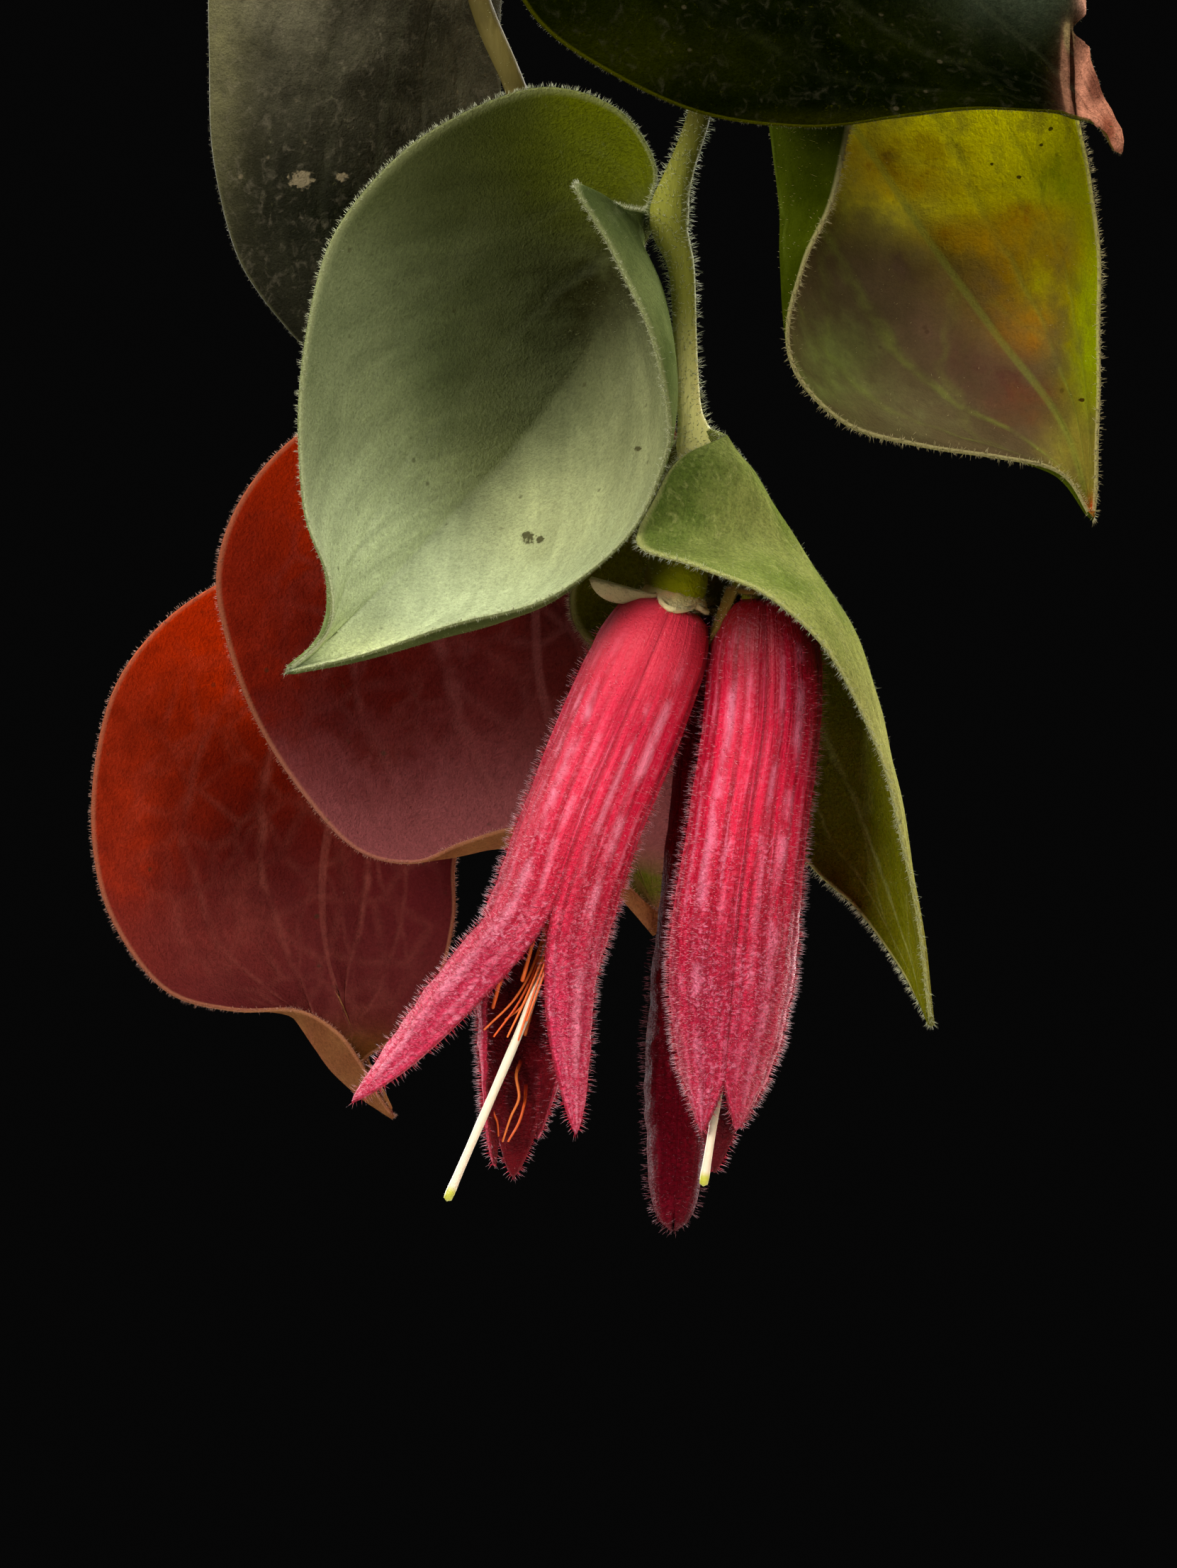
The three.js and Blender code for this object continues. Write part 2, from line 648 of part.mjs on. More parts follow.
const upperRedLeaf = {
  midrib: [
    [-1.7, 21, 28.1], [-3.3, 24, 21.1], [-4.1, 25, 13.5], [-3.3, 25, 5.8], [0.2, 23, -1.9],
    [5.1, 18, -9.9],
  ],
  left: [
    [-1.7, 21, 28.1], [-4.9, 21, 33], [-11.5, 21, 32.4], [-18, 21, 29.7], [-23.4, 20, 25.7],
    [-26.8, 19, 21.2], [-28.2, 18, 16.5], [-27.7, 18, 11.7], [-25.7, 18, 5.7], [-22.2, 18, -0.2],
    [-17.9, 18, -4.8], [-13.3, 18, -5.9], [-9.5, 17, -4.4], [-4.9, 16, -3.4], [0, 16, -5.1],
    [5.1, 18, -9.9],
  ],
  right: [
    [-1.7, 21, 28.1], [1.1, 22, 32], [5.4, 22, 29.8], [7.9, 22, 22.1], [8.7, 22, 13.4],
    [8.4, 23, 5.2], [7.3, 22, -1.9], [6.2, 20, -6.7], [5.1, 18, -9.9],
  ],
  bellyLeft: [[0, 2, 0], [0, 3, 0], [0, 2, -2], [0, 0, -3]],
  bellyRight: [[0, 2, 0], [0, 3, 0], [0, 2, 0], [0, 0, 0]],
};

const lowerRedLeaf = {
  midrib: [
    [-14.5, 30, 14.8], [-17.4, 33, 8.2], [-19.7, 34, 0.3], [-21, 33, -7.5], [-20, 30, -15.2],
    [-15.1, 23, -25.6],
  ],
  left: [
    [-14.5, 30, 14.8], [-17.2, 30, 18.7], [-22.7, 29, 18.3], [-28.8, 28, 15.5],
    [-33.4, 27, 12.2], [-36.6, 26, 7.8], [-38.2, 26, 2], [-38.4, 26, -4.1], [-37, 26, -10.4],
    [-33, 26, -15.9], [-27.5, 25, -17.6], [-22.4, 23, -17.4], [-19.3, 21, -19],
    [-17.5, 21, -21.4], [-16.3, 22, -23.9], [-15.1, 23, -25.6],
  ],
  right: [
    [-14.5, 30, 14.8], [-10.6, 30, 17], [-7.8, 30, 12], [-7.5, 30, 5.3], [-8.9, 30, -0.8],
    [-10.6, 30, -6.3], [-10.6, 30, -10.8], [-11.9, 29, -15.7], [-14.9, 27, -19.5],
    [-17.6, 25, -21.6], [-16.7, 24, -24.2], [-15.1, 23, -25.6],
  ],
  bellyLeft: [[0, 2, 0], [0, 3, 0], [0, 3, 0], [0, 3, 0], [-3, 1, -6], [0, 0, 0]],
  bellyRight: [[0, 2, 0], [0, 3, 0], [0, 2, 0], [0, 0, 0]],
};

const tipRows = 11;
const tipCells = 3;
addLeaf('leaf_front', frontLeaf, flowerStem, freshLeaf, tipRows, tipCells, tipCentre);
addLeaf('leaf_hood', hoodLeaf, flowerStem, freshLeaf, tipRows, tipCells, tipCentre);
addLeaf('leaf_mottled', mottledLeaf, flowerStem, yellowLeaf, tipRows, tipCells, tipCentre);
addLeaf('leaf_dark_upper', upperDarkLeaf, flowerStem, darkLeaf, tipRows, tipCells, tipCentre);
addLeaf('leaf_dark_back', backDarkLeaf, redStem, darkLeaf, tipRows, tipCells, tipCentre);
addLeaf('leaf_red_upper', upperRedLeaf, redStem, redLeaf, tipRows, tipCells, tipCentre);
addLeaf('leaf_red_lower', lowerRedLeaf, redStem, redLeaf, tipRows, tipCells, tipCentre);

// Outline of a leaf seen flat, as parts of its length and of half its width
const flatOutline = [
  [0, 0], [-0.08, 0.42], [0.06, 0.84], [0.3, 1], [0.55, 0.84], [0.75, 0.5], [0.88, 0.2], [1, 0],
];

// Leaf of the common form: cupped across, drooping along, hung by its stalk from a stem
function hungLeaf(stem, place, plan) {
  const { turn, length, width, cup, droop, stand } = plan;
  const centre = stem.path.getPointAt(place);
  const tangent = stem.path.getTangentAt(place);
  const outward = new THREE.Vector3(centre.x, centre.y, 0).normalize();
  const aside = new THREE.Vector3().crossVectors(tangent, outward).normalize();
  const rise = new THREE.Vector3().crossVectors(aside, tangent).normalize();
  const away = rise.multiplyScalar(Math.cos(turn)).addScaledVector(aside, Math.sin(turn));
  const heading = away.clone().multiplyScalar(stand).addScaledVector(tangent, 0.3);
  heading.z -= 0.62;
  heading.normalize();
  const face = away.clone().multiplyScalar(0.7);
  face.z += 0.55;
  face.addScaledVector(heading, -face.dot(heading)).normalize();
  const across = new THREE.Vector3().crossVectors(face, heading);
  const base = centre.clone().addScaledVector(away, stem.radiusAt(place) + seatGap + petioleReach);
  const put = (x, y, z) =>
    base.clone().addScaledVector(heading, x).addScaledVector(across, y).addScaledVector(face, z);
  const sagAt = (part) => -droop * length * part * Math.abs(part);
  const listed = (v) => [v.x, v.y, v.z];
  const margin = (sign) => flatOutline.map(([x, y]) => {
    const lift = (cup * width * y * y) / 2;
    return listed(put(x * length, (sign * y * width) / 2, sagAt(x) + lift));
  });
  const belly = (depth) => [[0, 0, 0], listed(face.clone().multiplyScalar(depth)), [0, 0, 0]];
  const dip = -cup * width * 0.16;
  return {
    midrib: [0, 0.25, 0.5, 0.75, 1].map((part) => listed(put(part * length, 0, sagAt(part)))),
    left: margin(1),
    right: margin(-1),
    bellyLeft: belly(dip),
    bellyRight: belly(dip),
  };
}

const plainRows = 7;
const plainCells = 2;
const goldenTurn = THREE.MathUtils.degToRad(137.5);
const archPlaces = [0.42, 0.57, 0.71, 0.85, 0.985];
const leafCrop = [
  { stem: flowerStem, places: [0.34, 0.47, 0.6], first: 1 },
  { stem: redStem, places: [0.36, 0.55], first: 4 },
  ...archStems.map((stem, i) => ({ stem, places: archPlaces, first: archPlans[i].first })),
];
let leafNumber = 0;
for (const { stem, places, first } of leafCrop) {
  places.forEach((place, i) => {
    const seed = first + i;
    leafNumber += 1;
    const shape = hungLeaf(stem, place, {
      turn: goldenTurn * seed,
      length: 42 + 10 * scatter(seed + 20),
      width: 38 + 8 * scatter(seed + 40),
      cup: 0.3 + 0.3 * scatter(seed + 60),
      droop: 0.1 + 0.2 * scatter(seed + 80),
      stand: 0.75,
    });
    const material = scatter(seed + 100) > 0.3 ? freshLeaf : darkLeaf;
    const name = `leaf_${String(leafNumber).padStart(2, '0')}`;
    addLeaf(name, shape, stem, material, plainRows, plainCells);
  });
}

// Flowers: one open, one about to open and one narrow bud, side by side under the hood leaf
const openFlower = {
  origin: tipCentre,
  axis: [
    [6, 0, 12.8], [2.7, 0, 5], [-0.3, 0, -2.3], [-2.7, 0, -9.5], [-4.4, 0, -16.8], [-5.6, 0, -25.6],
  ],
  radius: [2.6, 4.05, 4.3, 4.3, 4.35, 4.35, 4.2, 4, 3.6],
  lobes: [
    { at: -36, end: 0.98, out: 2, side: -2.5, slit: 0.54 },
    { at: 36, end: 0.98, out: 5, side: 9, slit: 0.54 },
    { at: 108, end: 1.06, out: -2.5, side: 0, slit: 0.62 },
    { at: 180, end: 1.08, out: -1, side: 0.5, slit: 0.7 },
    { at: 252, end: 1, out: -1.5, side: 0, slit: 0.62 },
  ],
  route: [[5.8, 1.6, 21.8], [6.6, 1, 17.5], [6.6, 0, 14.8], [6.12, 0, 13.15]],
  ovary: 2.1,
  calyx: {
    axis: [[6.45, 0, 14.1], [6.25, 0, 13.6]],
    radius: [1.8, 2.6, 3.2],
    lobes: [
      { at: 90, end: 0.2, out: 3.6, side: 0, slit: 0.4 },
      { at: 162, end: 0.6, out: 2.4, side: 0, slit: 0.4 },
      { at: 234, end: 1.2, out: 1.4, side: 0, slit: 0.4 },
      { at: 306, end: 1.3, out: 1.2, side: 0, slit: 0.4 },
      { at: 378, end: 0.9, out: 2, side: 0, slit: 0.4 },
    ],
  },
};

const closedFlower = {
  origin: tipCentre,
  axis: [
    [12.9, 0, 13.3], [12.8, 0, 5.5], [11.75, 0, -2.3], [10.75, 0, -10.1], [10.15, 0, -17.8],
    [9.45, 0, -26.1],
  ],
  radius: [2.6, 4, 4.1, 4.15, 4.3, 4.5, 4.2, 3.3, 1.9],
  lobes: [
    { at: -36, end: 0.985, out: -0.3, side: 0, slit: 0.93 },
    { at: 36, end: 0.985, out: -0.3, side: 0, slit: 0.93 },
    { at: 108, end: 0.97, out: -0.5, side: 0, slit: 0.93 },
    { at: 180, end: 1.07, out: -0.5, side: 0, slit: 0.93 },
    { at: 252, end: 0.98, out: -0.5, side: 0, slit: 0.93 },
  ],
  route: [[10, 0, 21.6], [11, 0.2, 18.5], [12.4, 0.1, 15.5], [12.9, 0, 13.65]],
  ovary: 2,
  calyx: {
    axis: [[12.9, 0, 14.5], [12.9, 0, 14]],
    radius: [1.7, 2.5, 3],
    lobes: [18, 90, 162, 234, 306].map((at) => ({ at, end: 1.2, out: 0.4, side: 0, slit: 0.4 })),
  },
};

const narrowBud = {
  origin: tipCentre,
  axis: [
    [9.5, 7, 12.4], [9.1, 7.5, 5.6], [8.4, 8, -2.9], [7.6, 8, -11.8], [6.8, 8, -20.8], [6.3, 8, -33.2],
  ],
  radius: [1.6, 2.3, 2.5, 2.6, 2.8, 2.3, 0.5],
  lobes: [-36, 36, 108, 180, 252].map((at) => ({ at, end: 1, out: -0.1, side: 0, slit: 0.95 })),
  route: [[8, 3.1, 24.4], [8.8, 5.2, 21], [9.5, 6.8, 16.5], [9.5, 7, 12.75]],
  ovary: 1.5,
  calyx: {
    axis: [[9.5, 7, 13.6], [9.5, 7, 13.1]],
    radius: [1.2, 1.8, 2.1],
    lobes: [18, 90, 162, 234, 306].map((at) => ({ at, end: 1.2, out: 0.8, side: 0, slit: 0.4 })),
  },
};

const petalRows = 9;
const petalCells = 2;
const calyxRows = 3;
const calyxCells = 2;
addCalyx('flower_open_calyx', openFlower, flowerStem, calyxRows, calyxCells);
addCorolla('flower_open_corolla', openFlower, furPetal, petalRows, petalCells);
addStyle('flower_open_style', [
  [5.9, 0, 12.6], [0, 0, -2.3], [-2.9, -1, -11.6], [-4.7, -2.5, -17.2], [-10.2, -4.5, -30],
], tipCentre);
addStamens('flower_open_stamens', openFlower, [
  { at: 20, end: 0.74, spread: 2.6 },
  { at: 65, end: 0.8, spread: 2.9 },
  { at: 115, end: 0.76, spread: 2.7 },
  { at: 180, end: 0.84, spread: 2.4 },
  { at: 235, end: 0.82, spread: 2.4 },
  { at: 300, end: 0.76, spread: 2.6 },
]);
addCalyx('flower_closed_calyx', closedFlower, flowerStem, calyxRows, calyxCells);
addCorolla('flower_closed_corolla', closedFlower, furPetal, petalRows, petalCells);
addStyle('flower_closed_style', [
  [12.9, 0, 12.7], [12, 0, -2.3], [11, 0, -10.1], [10, 0, -19.4], [9.2, -0.3, -24.3], [8.4, -0.4, -29.2],
], tipCentre);
addStamens('flower_closed_stamens', closedFlower, [40, 100, 160, 220, 280, 340].map((at) => (
  { at, end: 0.8, spread: 2.4 }
)));
addCalyx('flower_bud_calyx', narrowBud, flowerStem, calyxRows, calyxCells);
addCorolla('flower_bud_corolla', narrowBud, darkPetal, petalRows, petalCells);

// Flowers at the tip of another hanging stem
const farStem = archStems[3];
const farTip = farStem.path.getPointAt(1);
const calyxRing = (axis, radius, out) => ({
  axis,
  radius,
  lobes: [18, 90, 162, 234, 306].map((at) => ({ at, end: 1.2, out, side: 0, slit: 0.4 })),
});
const farFlower = {
  origin: farTip,
  axis: [[4, 0, -9], [4.6, 0, -19], [4.8, 0, -29], [4.6, 0, -39], [4, 0, -48]],
  radius: closedFlower.radius,
  lobes: closedFlower.lobes,
  route: [[2.4, 0, -1.6], [3.4, 0, -4.5], [3.9, 0, -7], [4, 0, -8.65]],
  ovary: 2,
  calyx: calyxRing([[4, 0, -7.8], [4, 0, -8.3]], [1.7, 2.5, 3], 1.6),
};
const farBud = {
  origin: farTip,
  axis: [[-4, 0, -9], [-4.6, 0, -17], [-4.8, 0, -26], [-4.4, 0, -35], [-4, 0, -41]],
  radius: narrowBud.radius,
  lobes: narrowBud.lobes,
  route: [[-2.4, 0, -1.6], [-3.4, 0, -4.5], [-3.9, 0, -7], [-4, 0, -8.65]],
  ovary: 1.5,
  calyx: calyxRing([[-4, 0, -7.8], [-4, 0, -8.3]], [1.2, 1.8, 2.1], 0.8),
};
addCalyx('flower_far_calyx', farFlower, farStem, calyxRows, calyxCells);
addCorolla('flower_far_corolla', farFlower, furPetal, petalRows, petalCells);
addCalyx('bud_far_calyx', farBud, farStem, calyxRows, calyxCells);
addCorolla('bud_far_corolla', farBud, darkPetal, petalRows, petalCells);

export default plant;
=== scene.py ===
import math
import bmesh
import bpy
import numpy as np
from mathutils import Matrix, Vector
from mathutils.bvhtree import BVHTree


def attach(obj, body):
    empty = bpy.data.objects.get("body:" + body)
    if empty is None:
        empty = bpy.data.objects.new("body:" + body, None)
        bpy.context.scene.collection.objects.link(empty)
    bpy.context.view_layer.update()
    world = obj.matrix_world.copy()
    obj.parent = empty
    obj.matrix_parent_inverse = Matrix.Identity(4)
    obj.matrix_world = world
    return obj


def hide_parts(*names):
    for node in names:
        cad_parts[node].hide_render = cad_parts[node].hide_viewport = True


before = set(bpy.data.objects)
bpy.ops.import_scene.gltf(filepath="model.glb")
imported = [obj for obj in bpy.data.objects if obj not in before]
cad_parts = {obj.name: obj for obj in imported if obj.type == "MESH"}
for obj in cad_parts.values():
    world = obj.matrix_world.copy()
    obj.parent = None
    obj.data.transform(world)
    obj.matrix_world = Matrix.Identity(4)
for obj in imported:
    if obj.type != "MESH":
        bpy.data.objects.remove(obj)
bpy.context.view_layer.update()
print("frame loaded")

mm = 0.001
tip = np.array([-190.0, 0.0, 90.0])  # centre of the branch tip that carries the flowers, in mm
rng = np.random.RandomState(11)  # for the hairs
fuzzShare = 1.0
hairSunk = 0.04  # how far a hair's root sits in the skin, in mm
hairTurns = (0.0, 2.0944, 4.1888)  # a third of a turn apart
wholeTurn = 6.28  # about one turn, for uneven draws
leafHalf, petalHalf, calyxHalf = 0.27, 0.22, 0.2  # half the thickness of a sheet, in mm


class Wire:
    # A value in a material's node tree, with arithmetic
    def __init__(self, paint, socket):
        self.paint = paint
        self.socket = socket

    def __add__(self, other):
        return self.paint.math("ADD", self, other)

    def __radd__(self, other):
        return self.paint.math("ADD", other, self)

    def __sub__(self, other):
        return self.paint.math("SUBTRACT", self, other)

    def __rsub__(self, other):
        return self.paint.math("SUBTRACT", other, self)

    def __mul__(self, other):
        return self.paint.math("MULTIPLY", self, other)

    def __rmul__(self, other):
        return self.paint.math("MULTIPLY", other, self)

    def __truediv__(self, other):
        return self.paint.math("DIVIDE", self, other)

    def __pow__(self, other):
        return self.paint.math("POWER", self, other)

    def __abs__(self):
        return self.paint.math("ABSOLUTE", self)


class Paint:
    # A procedural material, with places measured in mm
    def __init__(self, name):
        self.material = bpy.data.materials.new(name)
        self.material.use_nodes = True
        self.tree = self.material.node_tree
        self.tree.nodes.clear()
        coords = self.node("ShaderNodeTexCoord").outputs["Object"]
        scaled = self.node("ShaderNodeVectorMath", {"operation": "SCALE"},
                           {"Vector": coords, "Scale": 1 / mm})
        self.place = scaled.outputs["Vector"]

    def node(self, kind, settings=None, sockets=None):
        made = self.tree.nodes.new(kind)
        for key, value in (settings or {}).items():
            setattr(made, key, value)
        for key, value in (sockets or {}).items():
            value = value.socket if isinstance(value, Wire) else value
            if isinstance(value, bpy.types.NodeSocket):
                self.tree.links.new(value, made.inputs[key])
            else:
                made.inputs[key].default_value = value
        return made

    def math(self, kind, *values):
        made = self.node("ShaderNodeMath", {"operation": kind}, dict(enumerate(values)))
        return Wire(self, made.outputs[0])

    def value(self, name):
        made = self.node("ShaderNodeAttribute", {"attribute_name": name})
        return Wire(self, made.outputs["Fac"])

    def axis(self, name):
        made = self.node("ShaderNodeSeparateXYZ", None, {"Vector": self.place})
        return Wire(self, made.outputs[name])

    def stretched(self, factors):
        made = self.node("ShaderNodeVectorMath", {"operation": "MULTIPLY"}, {0: self.place, 1: factors})
        return made.outputs["Vector"]

    def joined(self, x, y, z=0.0):
        return self.node("ShaderNodeCombineXYZ", None, {"X": x, "Y": y, "Z": z}).outputs["Vector"]

    def noise(self, scale, detail=3.0, vector=None, distortion=0.0, rough=0.55):
        sockets = {"Vector": vector or self.place, "Scale": scale, "Detail": detail,
                   "Distortion": distortion, "Roughness": rough}
        return Wire(self, self.node("ShaderNodeTexNoise", None, sockets).outputs["Fac"])

    def cells(self, scale, feature="DISTANCE_TO_EDGE"):
        sockets = {"Vector": self.place, "Scale": scale}
        made = self.node("ShaderNodeTexVoronoi", {"feature": feature}, sockets)
        return Wire(self, made.outputs["Distance"])

    def smooth(self, low, high, value):
        made = self.node("ShaderNodeMapRange", {"interpolation_type": "SMOOTHSTEP"},
                         {"Value": value, "From Min": low, "From Max": high})
        return Wire(self, made.outputs["Result"])

    def clamp(self, value):
        made = self.node("ShaderNodeClamp", None, {"Value": value})
        return Wire(self, made.outputs["Result"])

    def mix(self, factor, first, second, kind="MIX"):
        sockets = {0: factor, 6: self.shade(first), 7: self.shade(second)}
        made = self.node("ShaderNodeMix", {"data_type": "RGBA", "blend_type": kind}, sockets)
        return made.outputs[2]

    def shade(self, colour):
        # A colour given as (r, g, b) from 0 to 255, or what a node gives, ready for a socket
        if isinstance(colour, tuple):
            return (*linear(*colour), 1.0)
        return colour

    def spot(self, centre, radii, uneven=0.0):
        # 1 at a place on the branch tip given as x and z, fading softly to about a quarter at its radii
        x = (self.axis("X") - float(tip[0] + centre[0])) / radii[0]
        z = (self.axis("Z") - float(tip[2] + centre[1])) / radii[1]
        return self.math("EXPONENT", (x * x + z * z + uneven) * -1.4)

    def finish(self, colour, roughness=0.5, height=None, depth=0.1, **constants):
        sockets = {"Base Color": self.shade(colour), "Roughness": roughness}
        if height is not None:
            bump = self.node("ShaderNodeBump", None,
                             {"Height": height, "Strength": 1.0, "Distance": depth * mm})
            sockets["Normal"] = bump.outputs["Normal"]
        surface = self.node("ShaderNodeBsdfPrincipled", None, sockets)
        for key, value in constants.items():
            surface.inputs[key.replace("_", " ")].default_value = value
        self.node("ShaderNodeOutputMaterial", None, {"Surface": surface.outputs["BSDF"]})
        return self.material


def linear(r, g, b):
    # A display colour from 0 to 255 as scene-linear
    parts = [c / 255 for c in (r, g, b)]
    return tuple(c / 12.92 if c <= 0.04045 else ((c + 0.055) / 1.055) ** 2.4 for c in parts)


def scatter(index):
    # The same uneven share from 0 to 1 for the same number
    wave = math.sin(index * 12.9898 + 78.233) * 43758.5453
    return wave - math.floor(wave)


def spline(points, t):
    # A smooth curve through points, spaced evenly over t from 0 to 1
    p = np.asarray(points, float)
    t = np.asarray(t, float)
    place = np.clip(t, 0, 1) * (len(p) - 1)
    low = np.minimum(np.floor(place).astype(int), len(p) - 2)
    w = place - low
    if p.ndim > 1:
        w = w[..., None]
    ends = np.concatenate([[2 * p[0] - p[1]], p, [2 * p[-1] - p[-2]]])
    a, b, c, d = ends[low], ends[low + 1], ends[low + 2], ends[low + 3]
    first, last = (c - a) / 2, (d - b) / 2
    return ((2 * w**3 - 3 * w**2 + 1) * b + (w**3 - 2 * w**2 + w) * first
            + (3 * w**2 - 2 * w**3) * c + (w**3 - w**2) * last)


def unit(v):
    # Vectors cut to length 1
    return v / np.maximum(np.linalg.norm(v, axis=-1, keepdims=True), 1e-12)


class Path:
    # A smooth curve through points, read by its share of length
    def __init__(self, points, origin=(0, 0, 0)):
        self.points = np.asarray(points, float) + np.asarray(origin, float)
        self.t = np.linspace(0, 1, 201)
        steps = np.linalg.norm(np.diff(spline(self.points, self.t), axis=0), axis=1)
        self.run = np.concatenate([[0], np.cumsum(steps)])
        self.length = self.run[-1]

    def share(self, u):
        return np.interp(np.asarray(u, float) * self.length, self.run, self.t)

    def at(self, u):
        return spline(self.points, self.share(u))

    def tangent(self, u):
        t = self.share(u)
        ahead = spline(self.points, np.minimum(t + 1e-4, 1))
        return unit(ahead - spline(self.points, np.maximum(t - 1e-4, 0)))


def nearest(path, point):
    # The share of length at which a path comes closest to a point
    u = np.linspace(0, 1, 401)
    return u[np.argmin(np.linalg.norm(path.at(u) - point, axis=1))]


def gridFaces(rows, columns, closed=False):
    # Triangles of a grid of points; closed joins the last column to the first
    index = np.arange(rows * columns).reshape(rows, columns)
    if closed:
        index = np.concatenate([index, index[:, :1]], 1)
    a, b, c, d = index[:-1, :-1], index[1:, :-1], index[1:, 1:], index[:-1, 1:]
    return np.concatenate([np.stack([a, b, c], -1).reshape(-1, 3), np.stack([a, c, d], -1).reshape(-1, 3)])


def pointNormals(points, faces):
    # The direction away from the surface at each point
    corner = points[faces]
    face = np.cross(corner[:, 1] - corner[:, 0], corner[:, 2] - corner[:, 0])
    total = np.zeros_like(points)
    for k in range(3):
        np.add.at(total, faces[:, k], face)
    return unit(total)


def welded(points, faces, values):
    # Points closer than a micrometre become one
    key = np.round(points * 1e3).astype(np.int64)
    _, first, inverse = np.unique(key, axis=0, return_index=True, return_inverse=True)
    faces = inverse.reshape(-1)[faces]
    whole = (faces[:, 0] != faces[:, 1]) & (faces[:, 1] != faces[:, 2]) & (faces[:, 2] != faces[:, 0])
    return points[first], faces[whole], {k: v[first] for k, v in values.items()}


def capped(rings, start, end):
    # Rings of points closed by one point at either end, facing outward
    rows, sides = rings.shape[:2]
    points = np.concatenate([rings.reshape(-1, 3), [start, end]])
    k = np.arange(sides)
    n = (k + 1) % sides
    row = (rows - 1) * sides
    faces = np.concatenate([gridFaces(rows, sides, closed=True)[:, ::-1],
                            np.stack([np.full(sides, rows * sides), n, k], -1),
                            np.stack([np.full(sides, rows * sides + 1), row + k, row + n], -1)])
    corner = points[faces]
    volume = np.einsum("ij,ij->i", corner[:, 0], np.cross(corner[:, 1], corner[:, 2])).sum()
    return points, faces[:, ::-1] if volume < 0 else faces


def around(radii, heights, angle):
    # Level rings about the axis of the pot
    radii, heights = np.asarray(radii, float)[:, None], np.asarray(heights, float)[:, None]
    return np.stack([radii * np.cos(angle), radii * np.sin(angle), np.repeat(heights, len(angle), 1)], -1)


def thickened(points, faces, values, half):
    # A sheet as a closed solid with a rounded rim; "side" is 0 on the sheet's own side, 1 behind
    normals = pointNormals(points, faces)
    count = len(points)
    edges = np.concatenate([faces[:, [0, 1]], faces[:, [1, 2]], faces[:, [2, 0]]])
    there, back = edges[:, 0] * count + edges[:, 1], edges[:, 1] * count + edges[:, 0]
    rim = edges[~np.isin(back, there)]
    outward = np.zeros_like(points)
    push = np.cross(points[rim[:, 1]] - points[rim[:, 0]], normals[rim[:, 0]])
    np.add.at(outward, rim[:, 0], push)
    np.add.at(outward, rim[:, 1], push)
    lip = np.unique(rim)
    place = np.zeros(count, int)
    place[lip] = np.arange(len(lip)) + 2 * count
    half = np.broadcast_to(half, (count,))[:, None]
    solid = np.concatenate([points + normals * half, points - normals * half,
                            points[lip] + unit(outward[lip]) * half[lip] * 0.8])
    a, b = rim[:, 0], rim[:, 1]
    ma, mb = place[a], place[b]
    wall = [(b, a, ma), (b, ma, mb), (mb, ma, a + count), (mb, a + count, b + count)]
    allFaces = np.concatenate([faces, faces[:, ::-1] + count, *[np.stack(w, -1) for w in wall]])
    out = {k: np.concatenate([v, v, v[lip]]) for k, v in values.items()}
    out["side"] = np.concatenate([np.zeros(count), np.ones(count), np.full(len(lip), 0.5)])
    return solid, allFaces, out


def tube(points, radii, sides, values=None):
    # A closed round tube along points, with a low cone at either end
    points = np.asarray(points, float)
    count = len(points)
    ahead = unit(np.gradient(points, axis=0))
    across = np.zeros_like(points)
    across[0] = unit(np.cross(ahead[0], [0.3, 0.9, 0.1]))
    for i in range(1, count):
        across[i] = unit(across[i - 1] - ahead[i] * (across[i - 1] @ ahead[i]))
    other = np.cross(ahead, across)
    turn = np.linspace(0, 2 * np.pi, sides, endpoint=False)
    radii = np.broadcast_to(radii, (count,))
    ring = points[:, None] + radii[:, None, None] * (
        np.cos(turn)[None, :, None] * across[:, None] + np.sin(turn)[None, :, None] * other[:, None])
    start = points[0] - ahead[0] * radii[0] * 0.3
    solid, faces = capped(ring, start, points[-1] + ahead[-1] * radii[-1] * 0.6)
    along = np.concatenate([np.repeat(np.linspace(0, 1, count), sides), [0, 1]])
    out = {"along": along, "across": np.zeros(len(solid)), "side": np.zeros(len(solid))}
    out.update({key: np.full(len(solid), value, float) for key, value in (values or {}).items()})
    return solid, faces, out


def ripples(points, scale, seed):
    # Smooth uneven value around 0 over points in mm
    waves = 14
    pick = np.random.RandomState(seed)
    total = np.zeros(len(points))
    for _ in range(waves):
        wave = unit(pick.normal(0, 1, 3)) * scale * pick.uniform(0.6, 1.6)
        total += np.sin(points @ wave + pick.uniform(0, wholeTurn))
    return total / math.sqrt(waves)


def merged(*solids):
    # Several solids as one set of points, faces and values
    points, faces, values, count = [], [], {}, 0
    names = sorted({k for s in solids for k in s[2]})
    for p, f, v in solids:
        points.append(p)
        faces.append(f + count)
        count += len(p)
        for k in names:
            values.setdefault(k, []).append(v.get(k, np.zeros(len(p))))
    return np.concatenate(points), np.concatenate(faces), {k: np.concatenate(v) for k, v in values.items()}


def placed(name, data):
    # A new object in the scene
    item = bpy.data.objects.new(name, data)
    bpy.context.scene.collection.objects.link(item)
    return item


def plainMesh(name, points, faces):
    mesh = bpy.data.meshes.new(name)
    mesh.from_pydata((points * mm).tolist(), [], faces.tolist())
    return mesh


